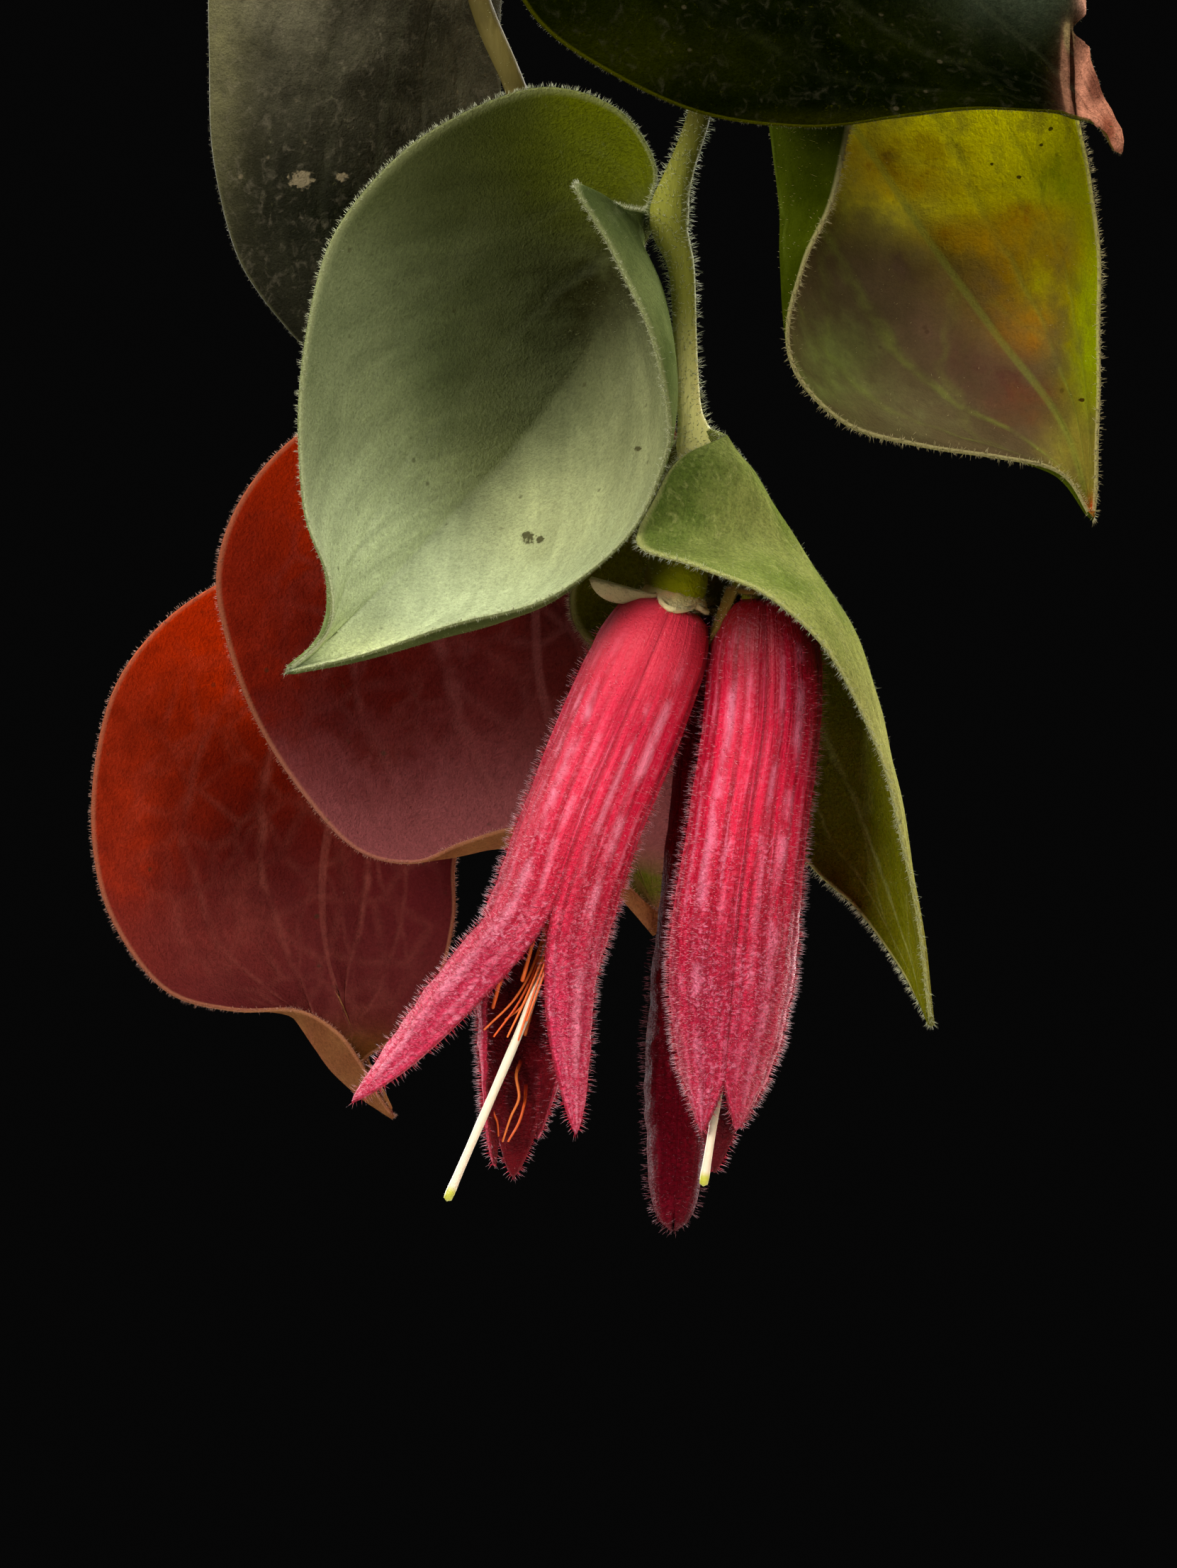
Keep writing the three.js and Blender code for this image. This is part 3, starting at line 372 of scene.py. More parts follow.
def addPiece(name, solid, material, nodes=(), smooth=True):
    # A visible piece; a solid is (points in mm, triangles, values on the points)
    points, faces, values = solid
    mesh = bpy.data.meshes.new(name)
    mesh.vertices.add(len(points))
    mesh.vertices.foreach_set("co", (points * mm).astype(np.float32).ravel())
    mesh.loops.add(faces.size)
    mesh.loops.foreach_set("vertex_index", faces.astype(np.int32).ravel())
    mesh.polygons.add(len(faces))
    mesh.polygons.foreach_set("loop_start", np.arange(0, faces.size, 3, dtype=np.int32))
    for key, value in values.items():
        mesh.attributes.new(key, "FLOAT", "POINT").data.foreach_set("value", value.astype(np.float32))
    mesh.update(calc_edges=True)
    shell = bmesh.new()  # turns every closed shell outward
    shell.from_mesh(mesh)
    bmesh.ops.recalc_face_normals(shell, faces=shell.faces)
    shell.to_mesh(mesh)
    shell.free()
    if smooth:
        mesh.shade_smooth()
    mesh.materials.append(material)
    piece = placed(name, mesh)
    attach(piece, "root")
    if nodes:
        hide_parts(*nodes)
    return piece


def fuzz(solid, count, length, width, spread=0.35, pick=None):
    # Fine closed spikes that stand on a surface; pick weighs each face
    points, faces, _ = solid
    corner = points[faces]
    normal = np.cross(corner[:, 1] - corner[:, 0], corner[:, 2] - corner[:, 0])
    area = np.linalg.norm(normal, axis=1)
    weight = area * (pick if pick is not None else 1.0)
    count = max(4, int(count * fuzzShare))
    chosen = rng.choice(len(faces), count, p=weight / weight.sum())
    u, v = rng.rand(count), rng.rand(count)
    over = u + v > 1
    u[over], v[over] = 1 - u[over], 1 - v[over]
    w = np.stack([1 - u - v, u, v], -1)[..., None]
    skin = pointNormals(points, faces)
    root = (corner[chosen] * w).sum(1)
    up = unit((skin[faces[chosen]] * w).sum(1))
    ahead = unit(up + rng.normal(0, spread, (count, 3)))
    reach = length * (0.55 + 0.75 * rng.rand(count))[:, None]
    aside = unit(np.cross(ahead, rng.normal(0, 1, (count, 3))))
    other = np.cross(ahead, aside)
    girth = (width * (0.7 + 0.6 * rng.rand(count)) * 0.5)[:, None]
    base = root - up * hairSunk
    corners = [base + girth * (math.cos(a) * aside + math.sin(a) * other) for a in hairTurns]
    spikes = np.stack([*corners, root + ahead * reach], 1).reshape(-1, 3)
    start = np.arange(count)[:, None] * 4
    each = np.array([[0, 2, 1], [0, 1, 3], [1, 2, 3], [2, 0, 3]])
    spikeFaces = (start[:, None] + each[None]).reshape(-1, 3)
    along = np.tile([0.0, 0.0, 0.0, 1.0], count)
    shade = np.repeat(rng.rand(count), 4)
    return spikes, spikeFaces, {"along": along, "shade": shade}


def fuzzPaint(name, root, end, start=0.0):
    # Hairs that go from one colour to another, from a share of their length on
    paint = Paint(name)
    along, shade = paint.value("along"), paint.value("shade")
    colour = paint.mix(paint.smooth(start, 0.9, along), root, end)
    colour = paint.mix(shade * 0.35, colour, root)
    return paint.finish(colour, 0.5 + shade * 0.2, Specular_IOR_Level=0.35)


# Stems
soilTop = 102.0
soilCrown = 3.0
pocketDeep = 14
pocketFloor = soilTop + soilCrown * 0.9 - pocketDeep
stemStand = 15.0  # from the middle of the pot
stemThick, stemThin = 2, 0.85  # radii at the foot and at the tip
knotThick, knotLong = 0.4, 0.012
seatGap = 0.3
stalkReach = 2.5


def makeStem(name, points, knot=None):
    # A knot is a place with a thick ring; joints are where stalks start, for the swellings
    stem = {"name": name, "path": Path(points), "knot": None, "joints": []}
    if knot is not None:
        stem["knot"] = nearest(stem["path"], knot)
    return stem


def stemRadius(stem, u):
    plain = stemThick + (stemThin - stemThick) * np.minimum(1, np.asarray(u) * 1.4)
    if stem["knot"] is not None:
        plain = plain + knotThick * np.exp(-(((u - stem["knot"]) / knotLong) ** 2))
    return plain


flowerStem = makeStem("stem_flowering", [
    [-stemStand, 0, pocketFloor], [-stemStand, 0, pocketFloor + pocketDeep],
    [-stemStand - 1, 0, soilTop + 16], [-24, 0, 160], [-58, 0, 202], [-108, 0, 216], [-150, 0, 200],
    *(np.array([
        [22, 0, 93], [13.8, 0, 75], [11.4, 0, 64], [9.6, 0, 57.3], [8.2, 0, 49.3], [5.9, 0, 41.9],
        [6.8, 0, 37.7], [7.1, 0, 31.9], [7.4, 0, 27.2], [8.1, 0, 24.2]]) + tip),
], tip + [5.9, 0, 41.9])
redStem = makeStem("stem_red_leaves", [
    [-12, 9, pocketFloor], [-12, 9, pocketFloor + pocketDeep], [-12.5, 10, soilTop + 16],
    [-20, 16, 165], [-62, 24, 216], [-122, 28, 234], [-172, 24, 218],
    *(np.array([
        [-7, 19, 98], [-11.2, 17, 78], [-9.7, 14.5, 67.6], [-8.3, 14, 59.4], [-5.6, 14.5, 52.8],
        [-3, 18, 45.7], [-1.7, 21, 37.3], [-2, 23, 29.8], [-4.7, 27, 23.5], [-10, 31, 17.6]]) + tip),
])
archPlans = [
    {"turn": 112, "reach": 112, "top": 92, "drop": 40, "first": 6},
    {"turn": 62, "reach": 128, "top": 104, "drop": 24, "first": 15},
    {"turn": 8, "reach": 120, "top": 84, "drop": 52, "first": 24},
    {"turn": -48, "reach": 132, "top": 98, "drop": 30, "first": 33},
    {"turn": -102, "reach": 108, "top": 88, "drop": 44, "first": 43},
]
archStems = []
for i, plan in enumerate(archPlans):
    reach, top = plan["reach"], plan["top"]
    outline = [
        [stemStand, pocketFloor], [stemStand, pocketFloor + pocketDeep], [stemStand + 0.6, soilTop + 16],
        [stemStand + 8, soilTop + top * 0.55], [reach * 0.38, soilTop + top * 0.95],
        [reach * 0.68, soilTop + top], [reach * 0.92, soilTop + top * 0.62],
        [reach, soilTop + top * 0.1], [reach + 2, soilTop - plan["drop"]],
    ]
    sway = math.radians(7 * (scatter(i) - 0.5))
    bends = [math.radians(plan["turn"]) + sway * max(0, k - 3) for k in range(len(outline))]
    archStems.append(makeStem(f"stem_arch_{i + 1}", [
        [math.cos(b) * r, math.sin(b) * r, z] for (r, z), b in zip(outline, bends)]))
allStems = [flowerStem, redStem, *archStems]


# Leaves
def leafGrid(shape, rows, cells, origin):
    # A sheet between the midrib and two margins, which start and end with it; a belly bends each half
    t = np.linspace(0, 1, rows + 1)
    mid = spline(shape["midrib"], t) + origin
    rise = np.sin(np.minimum(1, 6 * t) * np.pi / 2)[:, None]
    s = np.linspace(0, 1, cells + 1)[None, :, None]
    halves = []
    for edge, belly in (("left", "bellyLeft"), ("right", "bellyRight")):
        margin = spline([shape["midrib"][0], *shape[edge], shape["midrib"][-1]], t) + origin
        pull = (mid + margin) / 2 + spline(shape[belly], t) * rise
        halves.append((1 - s) ** 2 * mid[:, None] + 2 * s * (1 - s) * pull[:, None] + s * s * margin[:, None])
    return np.concatenate([halves[0][:, ::-1], halves[1][:, 1:]], 1)


def leafRelief(t, s, reach, seed, wave):
    # Height off the sheet in mm: a sunk midrib and side veins, quilting between them, a wavy margin
    spread = np.abs(s)
    width = np.maximum(reach.max(1, keepdims=True), 0.5)
    fade = np.sin(np.pi * np.clip(t, 0, 1)) ** 0.5
    height = -0.09 * np.exp(-((spread * width / 0.7) ** 2)) * fade
    for at, depth in ((0.34, 0.05), (0.67, 0.04)):
        line = at * (1 - 0.3 * (1 - t) ** 2)
        height = height - depth * np.exp(-(((spread - line) * width / 0.5) ** 2)) * fade
    quilt = np.sin(2 * np.pi * (t * 7 - spread * 1.6 + seed)) * np.sin(np.pi * spread * 3)
    height = height + 0.07 * quilt * fade
    ripple = np.sin(2 * np.pi * (t * 3.3 + seed * 3.7)) + 0.5 * np.sin(2 * np.pi * (t * 7.7 + seed * 9.1))
    return height + wave * ripple * spread**3 * fade


def leafSolid(shape, rows, cells, origin, seed, wave):
    # The blade as a closed solid, with its crumpled or notched tip
    grid = leafGrid(shape, rows, cells, origin)
    t = np.repeat(np.linspace(0, 1, rows + 1)[:, None], 2 * cells + 1, 1)
    s = np.repeat(np.linspace(-1, 1, 2 * cells + 1)[None], rows + 1, 0)
    step = np.linalg.norm(np.diff(grid, axis=1), axis=2)
    left = np.cumsum(step[:, :cells][:, ::-1], 1)[:, ::-1]
    reach = np.concatenate([left, np.zeros((rows + 1, 1)), np.cumsum(step[:, cells:], 1)], 1)
    faces = gridFaces(rows + 1, 2 * cells + 1)
    points = grid.reshape(-1, 3)
    lift = leafRelief(t, s, reach, seed, wave).ravel()
    points = points + pointNormals(points, faces) * lift[:, None]
    points = points.reshape(grid.shape)
    points[0], points[-1] = grid[0], grid[-1]
    s[0], s[-1] = 0, 0
    values = {"along": t.ravel(), "across": s.ravel(), "reach": reach.ravel()}
    points, faces, values = welded(points.reshape(-1, 3), faces, values)
    if "crumple" in shape:
        centre, size, amount = shape["crumple"]
        near = np.exp(-(np.linalg.norm(points - origin - centre, axis=1) / size) ** 2)
        creases = ripples(points, 1.1, 61) + 0.6 * np.abs(ripples(points, 2.1, 62))
        points = points + pointNormals(points, faces) * (amount * near * creases)[:, None]
    if "notch" in shape:
        across, up, tall = shape["notch"]
        past = np.maximum(0, points[:, 0] - origin[0] - across)
        pull = 0.94 * np.exp(-(((points[:, 2] - origin[2] - up) / tall) ** 4))
        points[:, 0] -= past * pull
    rim = np.abs(values["across"])
    return thickened(points, faces, values, leafHalf * (1 - 0.45 * rim**4))


def stalkSolid(shape, stem, origin):
    # The stalk runs from just inside the stem into the blade, under its midrib
    midrib = Path(shape["midrib"], origin)
    base = midrib.at(0)
    u = nearest(stem["path"], base)
    centre = stem["path"].at(u)
    away = unit(base - centre)
    skin = centre + away * stemRadius(stem, u) * 0.8
    inner = midrib.at(min(0.3, (stalkReach + 4) / midrib.length))
    stem["joints"].append(float(u))
    w = np.linspace(0, 1, 14)[:, None]
    route = (1 - w) ** 2 * skin + 2 * w * (1 - w) * base + w * w * inner
    radii = 0.78 * (1 + 0.3 * np.exp(-((w[:, 0] / 0.12) ** 2))) * (1 - 0.62 * w[:, 0] ** 1.5)
    solid = tube(route, radii, 10)
    solid[2]["along"] = solid[2]["along"] * 0.1
    solid[2]["side"] = solid[2]["side"] + 0.5
    return solid


def leafPaint(name, look):
    # Clouds, spots and bands on the upper side, then streaks, veins, grain and flecks, then the underside
    paint = Paint(name)
    t, s, side = paint.value("along"), paint.value("across"), paint.value("side")
    spread, reach = abs(s), paint.value("reach")
    cloud = paint.noise(look.get("cloudScale", 0.13), 4, distortion=0.4)
    blotch = paint.noise(0.5, 4)
    grain = paint.noise(3.4, 4)
    felt = paint.noise(7.5, 2)
    fan = paint.noise(1.0, 4, paint.joined(t * 20.0 - spread * 11.0, s * 3.4, spread * 2.0), 0.5)
    colour = paint.mix(paint.smooth(0.34, 0.68, cloud), look["deep"], look["light"])
    for empty, full, share, tone in look.get("bands", []):
        place = paint.axis("Z") + blotch * 5.0 - float(tip[2] + 2.5)
        colour = paint.mix(paint.smooth(float(empty), float(full), place) * share, colour, tone)
    for centre, radii, share, tone in look.get("spots", []):
        soft = paint.spot(centre, radii, (0.5 - blotch) * look.get("uneven", 1.4))
        colour = paint.mix(paint.clamp(soft * share), colour, tone)
    streaks = 1.0 + (fan - 0.5) * look.get("fanShare", 0.9) * paint.smooth(1.0, 0.8, spread)
    colour = paint.mix(1.0, colour, streaks, "MULTIPLY")
    for tone, scale, low, high, share in look.get("blots", []):
        blot = paint.smooth(low, high, paint.noise(scale, 5, paint.stretched((1, 1, 0.8)), 0.9))
        colour = paint.mix(blot * share, colour, tone)
    line = 1 - 0.3 * (1 - t) ** 2.0
    wander = (paint.noise(0.22, 2) - 0.5) * 0.14
    veins = paint.smooth(0.045, 0.0, abs(spread - 0.34 * line + wander))
    veins = paint.math("MAXIMUM", veins, paint.smooth(0.036, 0.0, abs(spread - 0.67 * line + wander)) * 0.7)
    branch = paint.math("FRACT", t * 4.3 - spread * 1.7 + wander * 4.0)
    veins = paint.math("MAXIMUM", veins, paint.smooth(0.09, 0.0, abs(branch - 0.5)) * 0.45)
    net = paint.smooth(0.16, 0.0, paint.cells(look.get("netScale", 0.4)) + (blotch - 0.5) * 0.1)
    veins = paint.math("MAXIMUM", veins, net * look.get("net", 0.4))
    veins = veins * (0.2 + 0.9 * paint.smooth(0.3, 0.7, blotch)) * paint.smooth(0.98, 0.75, spread)
    colour = paint.mix(paint.clamp(veins * look["veinShare"]), colour, look["vein"])
    middle = paint.smooth(0.5, 0.2, reach) * paint.smooth(0.0, 0.15, t)
    colour = paint.mix(middle * look.get("midShare", 0.2), colour, look["vein"])
    tooth = 1.0 + (grain - 0.5) * look.get("grainShare", 1.1) + (felt - 0.5) * look.get("feltShare", 0.9)
    colour = paint.mix(1.0, colour, tooth, "MULTIPLY")
    fleck = paint.smooth(0.6, 0.74, paint.noise(3.0, 5, distortion=1.2)) * paint.smooth(0.4, 0.62, blotch)
    colour = paint.mix(fleck * look.get("fleckShare", 0.3), colour, look["edge"])
    specks = paint.smooth(0.15, 0.07, paint.cells(0.55, "F1")) * paint.smooth(0.5, 0.62, blotch)
    colour = paint.mix(specks * look.get("speckShare", 0.5), colour, look["speck"])
    for centre, size in look.get("marks", []):
        uneven = (0.5 - paint.noise(2.4, 3)) * 3.0
        mark = paint.smooth(0.25, 0.6, paint.spot(centre, (size, size * 0.8), uneven))
        colour = paint.mix(mark * 0.9, colour, look["speck"])
    under = paint.mix(paint.smooth(0.3, 0.7, cloud), look["under"], look["underLight"])
    under = paint.mix(paint.clamp(veins * 0.4), under, look["vein"])
    under = paint.mix(1.0, under, tooth, "MULTIPLY")
    colour = paint.mix(paint.smooth(0.35, 0.65, side), colour, under)
    edge = paint.smooth(look.get("edgeFrom", 0.972), 1.0, spread)
    colour = paint.mix(edge * look.get("edgeShare", 0.5), colour, look["edge"])
    height = grain * 0.6 + felt * 0.35 + blotch * 0.3 - veins * 0.3
    rough = look.get("rough", 0.6) + 0.12 * (blotch - 0.5)
    return paint.finish(colour, rough, height, look["depth"], Specular_IOR_Level=look.get("gloss", 0.0))


def addLeaf(name, shape, stem, material, node, rows, cells, origin, seed, wave, fluff):
    blade = leafSolid(shape, rows, cells, origin, seed, wave)
    stalk = stalkSolid(shape, stem, origin)
    addPiece(name, merged(blade, stalk), material, [node] if node else [])
    points, faces, values = blade
    side = values["side"][faces].mean(1)
    lip = ((side > 0.2) & (side < 0.8)) * 1.0
    coats = [fuzz(blade, fluff["rim"], fluff["rimLength"], fluff["width"], 0.28, lip + 1e-4)]
    if "stalk" in fluff:
        coats.append(fuzz(stalk, fluff["stalk"], fluff["length"] * 1.3, fluff["width"]))
    if "face" in fluff:
        here = points[faces].mean(1) - tip
        away = (here[:, 0] - fluff["faceAt"][0]) ** 2 + (here[:, 2] - fluff["faceAt"][1]) ** 2
        dense = 0.1 + np.exp(-away / fluff["faceReach"] ** 2)
        felt = fuzz(blade, fluff["face"], fluff["length"], fluff["width"], 0.45, (1 - lip) * dense)
        addPiece(name + "_felt", felt, fluff["facePaint"])
    addPiece(name + "_hairs", merged(*coats), fluff["paint"])


# Leaves around the flowers, in mm from the tip. The margins leave out the ends that they share with the
# midrib. A crumple is (centre, size, height of its creases), and a notch is (x of its floor, z of its
# middle, half its height).
frontLeaf = {
    "midrib": [
        [4.2, 1, 41.8], [2, 9, 35.8], [-3.8, 12, 27], [-12.1, 7, 17.7], [-18.1, -1, 11.4], [-21.8, -5, 8.1]],
    "left": [
        [4.8, 1, 45.2], [1.9, 0, 49.4], [-4.1, -1, 50.7], [-11.3, -3, 47.3], [-16.7, -5, 42],
        [-19.6, -6, 36.1], [-20.7, -7, 27.8], [-20.3, -8, 20.1], [-18.7, -8, 14.8], [-18.7, -8, 11.1]],
    "right": [
        [1.8, -6, 41.6], [-0.9, -12, 42.4], [1.9, -13, 37.5], [4.1, -14, 32.4], [5.5, -13, 26.9],
        [5.4, -11.2, 22.7], [2.8, -9, 17.8], [-2.6, -8, 13.6], [-9.7, -8, 11.4], [-16.6, -7, 9.2]],
    "bellyLeft": [[0, 2, 0], [0, 4, 0], [0, 3, 0], [0, 0, 0]],
    "bellyRight": [[0, 0, 0], [9, 4, 1], [6, 4, -2], [0, 0, 0]],
}
hoodLeaf = {
    "midrib": [
        [10, -1, 25.2], [12, 1.4, 22.2], [16.2, 3.4, 15.9], [20.1, 3, 8.1], [22.4, 2, -0.7], [23.9, 1, -9.6],
        [25, -1, -17.5]],
    "left": [
        [6.6, -5, 23.4], [4.9, -7.2, 20.7], [3.6, -9, 17.1], [8, -12, 15.5], [13.1, -13, 13],
        [17.2, -11.5, 9.1], [20.7, -8.5, 2.9], [22.8, -5.5, -4.9], [24.3, -3, -12.5]],
    "right": [
        [6.6, 7, 25.5], [1.6, 12, 21.6], [-1.3, 15, 14.4], [0.4, 16, 10.3], [5.4, 17, 7.1], [10.7, 16, 1.4],
        [16.8, 13, -6.1], [20.2, 8, -9.4], [23.1, 4, -13.6]],
    "bellyLeft": [[1, -1, 1], [6, -2, 1], [1, -2, 0], [0, 0, 0]],
    "bellyRight": [[0, 3, 3], [0, 9, 3], [0, 6, 1], [0, 0, 0]],
}
mottledLeaf = {
    "midrib": [
        [11.5, 3, 60.1], [15.3, 8, 54.7], [20.4, 10, 48.2], [25.4, 9, 40.5], [30.3, 6, 33.2], [34.9, 2, 26.3],
        [36.7, -2, 19.3]],
    "left": [
        [14, 1, 62.4], [18.4, -4, 58.3], [19.4, -8, 52.1], [18.7, -8, 46.8], [17.4, -8, 41.5],
        [15.4, -8, 37.3], [14.3, -7, 33.3], [15.2, -6, 29.3], [18.9, -5, 26], [24.1, -4, 24.4],
        [29.8, -3, 23.7], [34.5, -2, 22.6]],
    "right": [
        [15.7, 6, 65], [23.7, 7, 66.2], [30.9, 5, 61.7], [34.9, 3, 54.1], [36.2, 1, 47.1], [37.1, 0, 40.2],
        [37.3, -1, 32.4], [37, -2, 24.5]],
    "bellyLeft": [[-9, 0, 2], [-11, 3, 0], [-5, 3, -1], [0, 0, 0]],
    "bellyRight": [[0, 1, 0], [1, 3, 0], [1, 2, 0], [0, 0, 0]],
}
upperDarkLeaf = {
    "crumple": ([36.8, -10, 49.5], 5.0, 0.4),
    "notch": (34.4, 54.0, 0.9),
    "midrib": [
        [13.1, -4, 71.2], [17.9, -5, 65.6], [23.5, -6, 60.3], [28.3, -8, 55.7], [33.4, -10, 50.7],
        [37.7, -12, 44.8]],
    "left": [
        [8.6, -7, 76.2], [1.5, -11, 74.5], [-4.3, -14, 66.9], [-5.8, -16, 59.6], [-4, -17, 54.2],
        [1, -18, 50.1], [7.7, -18, 47], [14.9, -18, 46], [21.9, -17, 46.9], [28.4, -16, 47.5],
        [34.9, -13, 47.1]],
    "right": [
        [14.4, -3, 77.5], [20.6, -2, 79.7], [27.8, -2, 77.1], [33.4, -3, 70.8], [35.8, -5, 62.8],
        [35.6, -8, 54.2]],
    "bellyLeft": [[0, -2, 0], [0, -3, 0], [0, -2, 0], [0, 0, 0]],
    "bellyRight": [[0, -2, 0], [0, -3, 0], [0, -2, 0], [0, 0, 0]],
}
backDarkLeaf = {
    "midrib": [
        [-11.2, 20.5, 76.3], [-12.4, 18.5, 66.1], [-14.5, 16.5, 56.1], [-16.1, 15.5, 46.5], [-16.6, 14, 36.7],
        [-15.3, 13, 29.2]],
    "left": [
        [-12.5, 21, 81.7], [-19.6, 20, 81.7], [-26, 19, 74.5], [-28.4, 17, 63.9], [-28.7, 16, 55.2],
        [-28.3, 15, 47], [-26.3, 14, 39.7], [-22.5, 13, 34.2], [-18.7, 13, 30.8]],
    "right": [
        [-8.2, 23, 81.8], [-5, 24, 78.7], [-4.7, 24, 71.5], [-6.5, 23, 63.7], [-6.9, 23, 55.5],
        [-6.4, 22, 47.2], [-7.6, 19, 39.9], [-11.3, 15, 33.6]],
    "bellyLeft": [[0, 0, 0], [0, -2, 0], [0, -3, 0], [0, 0, 0]],
    "bellyRight": [[0, 0, 0], [0, 0, 0], [0, -1, 0], [0, 0, 0]],
}
upperRedLeaf = {
    "midrib": [
        [-1.7, 21, 28.1], [-3.3, 24, 21.1], [-4.1, 25, 13.5], [-3.3, 25, 5.8], [0.2, 23, -1.9],
        [5.1, 18, -9.9]],
    "left": [
        [-4.9, 21, 33], [-11.5, 21, 32.4], [-18, 21, 29.7], [-23.4, 20, 25.7], [-26.8, 19, 21.2],
        [-28.2, 18, 16.5], [-27.7, 18, 11.7], [-25.7, 18, 5.7], [-22.2, 18, -0.2], [-17.9, 18, -4.8],
        [-13.3, 18, -5.9], [-9.5, 17, -4.4], [-4.9, 16, -3.4], [0, 16, -5.1]],
    "right": [
        [1.1, 22, 32], [5.4, 22, 29.8], [7.9, 22, 22.1], [8.7, 22, 13.4], [8.4, 23, 5.2], [7.3, 22, -1.9],
        [6.2, 20, -6.7]],
    "bellyLeft": [[0, 2, 0], [0, 3, 0], [0, 2, -2], [0, 0, -3]],
    "bellyRight": [[0, 2, 0], [0, 3, 0], [0, 2, 0], [0, 0, 0]],
}
lowerRedLeaf = {
    "midrib": [
        [-14.5, 30, 14.8], [-17.4, 33, 8.2], [-19.7, 34, 0.3], [-21, 33, -7.5], [-20, 30, -15.2],
        [-15.1, 23, -25.6]],
    "left": [
        [-17.2, 30, 18.7], [-22.7, 29, 18.3], [-28.8, 28, 15.5], [-33.4, 27, 12.2], [-36.6, 26, 7.8],
        [-38.2, 26, 2], [-38.4, 26, -4.1], [-37, 26, -10.4], [-33, 26, -15.9], [-27.5, 25, -17.6],
        [-22.4, 23, -17.4], [-19.3, 21, -19], [-17.5, 21, -21.4], [-16.3, 22, -23.9]],
    "right": [
        [-10.6, 30, 17], [-7.8, 30, 12], [-7.5, 30, 5.3], [-8.9, 30, -0.8], [-10.6, 30, -6.3],
        [-10.6, 30, -10.8], [-11.9, 29, -15.7], [-14.9, 27, -19.5], [-17.6, 25, -21.6], [-16.7, 24, -24.2]],
    "bellyLeft": [[0, 2, 0], [0, 3, 0], [0, 3, 0], [0, 3, 0], [-3, 1, -6], [0, 0, 0]],
    "bellyRight": [[0, 2, 0], [0, 3, 0], [0, 2, 0], [0, 0, 0]],
}

# Leaf colours from 0 to 255. In mm on the branch tip: spots are ((x, z), (radii), share, colour), bands
# are (z where none, z where full, share, colour), and marks are ((x, z), size) of dark flecks.
# Blots are (colour, scale, low, high, share) of an uneven pattern.
freshLook = {
    "deep": (86, 94, 60), "light": (116, 122, 84), "vein": (140, 146, 108),
    "under": (66, 78, 38), "underLight": (96, 106, 60), "edge": (150, 152, 104),
    "veinShare": 0.08, "net": 0.1, "edgeShare": 0.35, "midShare": 0.0, "rough": 0.75, "depth": 0.24,
    "speckShare": 0.6, "speck": (66, 62, 36),
}
frontLook = dict(
    freshLook, grainShare=0.8, feltShare=0.7, uneven=0.7,
    # Bands: the top is painted a darker olive and the lower part paler, partly the leaf's own pale bloom and
    # partly painted shade at the top and painted light on the lower part
    bands=[(32, 46, 0.8, (70, 74, 34)), (26, 9, 1.0, (180, 190, 146))],
    # Spots: the near-black one at (1.5, 36) is painted shade in the hollow of the cup; the pale ones on the
    # lower part are partly pale bloom and partly painted light; the olive-yellow ones at the top right are
    # partly painted light shining through the leaf
    spots=[
        ((2, 48), (8, 9), 1.3, (96, 102, 0)),
        ((-4, 33), (15, 12), 0.45, (84, 86, 52)),
        ((1.5, 36), (8.5, 8), 1.0, (22, 20, 0)),
        ((-17, 25), (7, 14), 0.7, (140, 148, 106)),
        ((4, 26), (5, 9), 0.7, (138, 140, 96)),
        ((-4, 20), (9, 6), 0.8, (172, 176, 124)),
        ((-15, 17), (7, 7), 0.8, (198, 208, 164)),
        ((-16, 9.5), (4, 2), 1.0, (216, 224, 166)),
        ((-2, 46), (6, 4), 0.6, (80, 86, 22)),
    ],
    marks=[((-4.4, 18.2), 0.7), ((-3.6, 18.0), 0.4), ((3.6, 24.6), 0.3)],
)
hoodLook = dict(
    freshLook, deep=(92, 106, 42), light=(128, 134, 70), under=(72, 74, 0),
    underLight=(86, 86, 10), vein=(140, 146, 84), veinShare=0.12, midShare=0.0,
    bands=[(16, 4, 0.7, (150, 148, 84)), (0, -12, 0.8, (92, 88, 20))],
    spots=[((5, 21), (7, 6), 0.9, (72, 88, 32))],
    blots=[((164, 166, 100), 1.6, 0.5, 0.78, 0.4), ((78, 90, 36), 2.2, 0.5, 0.78, 0.4)],
    fleckShare=0.5, edge=(170, 168, 104), edgeShare=0.5,
)
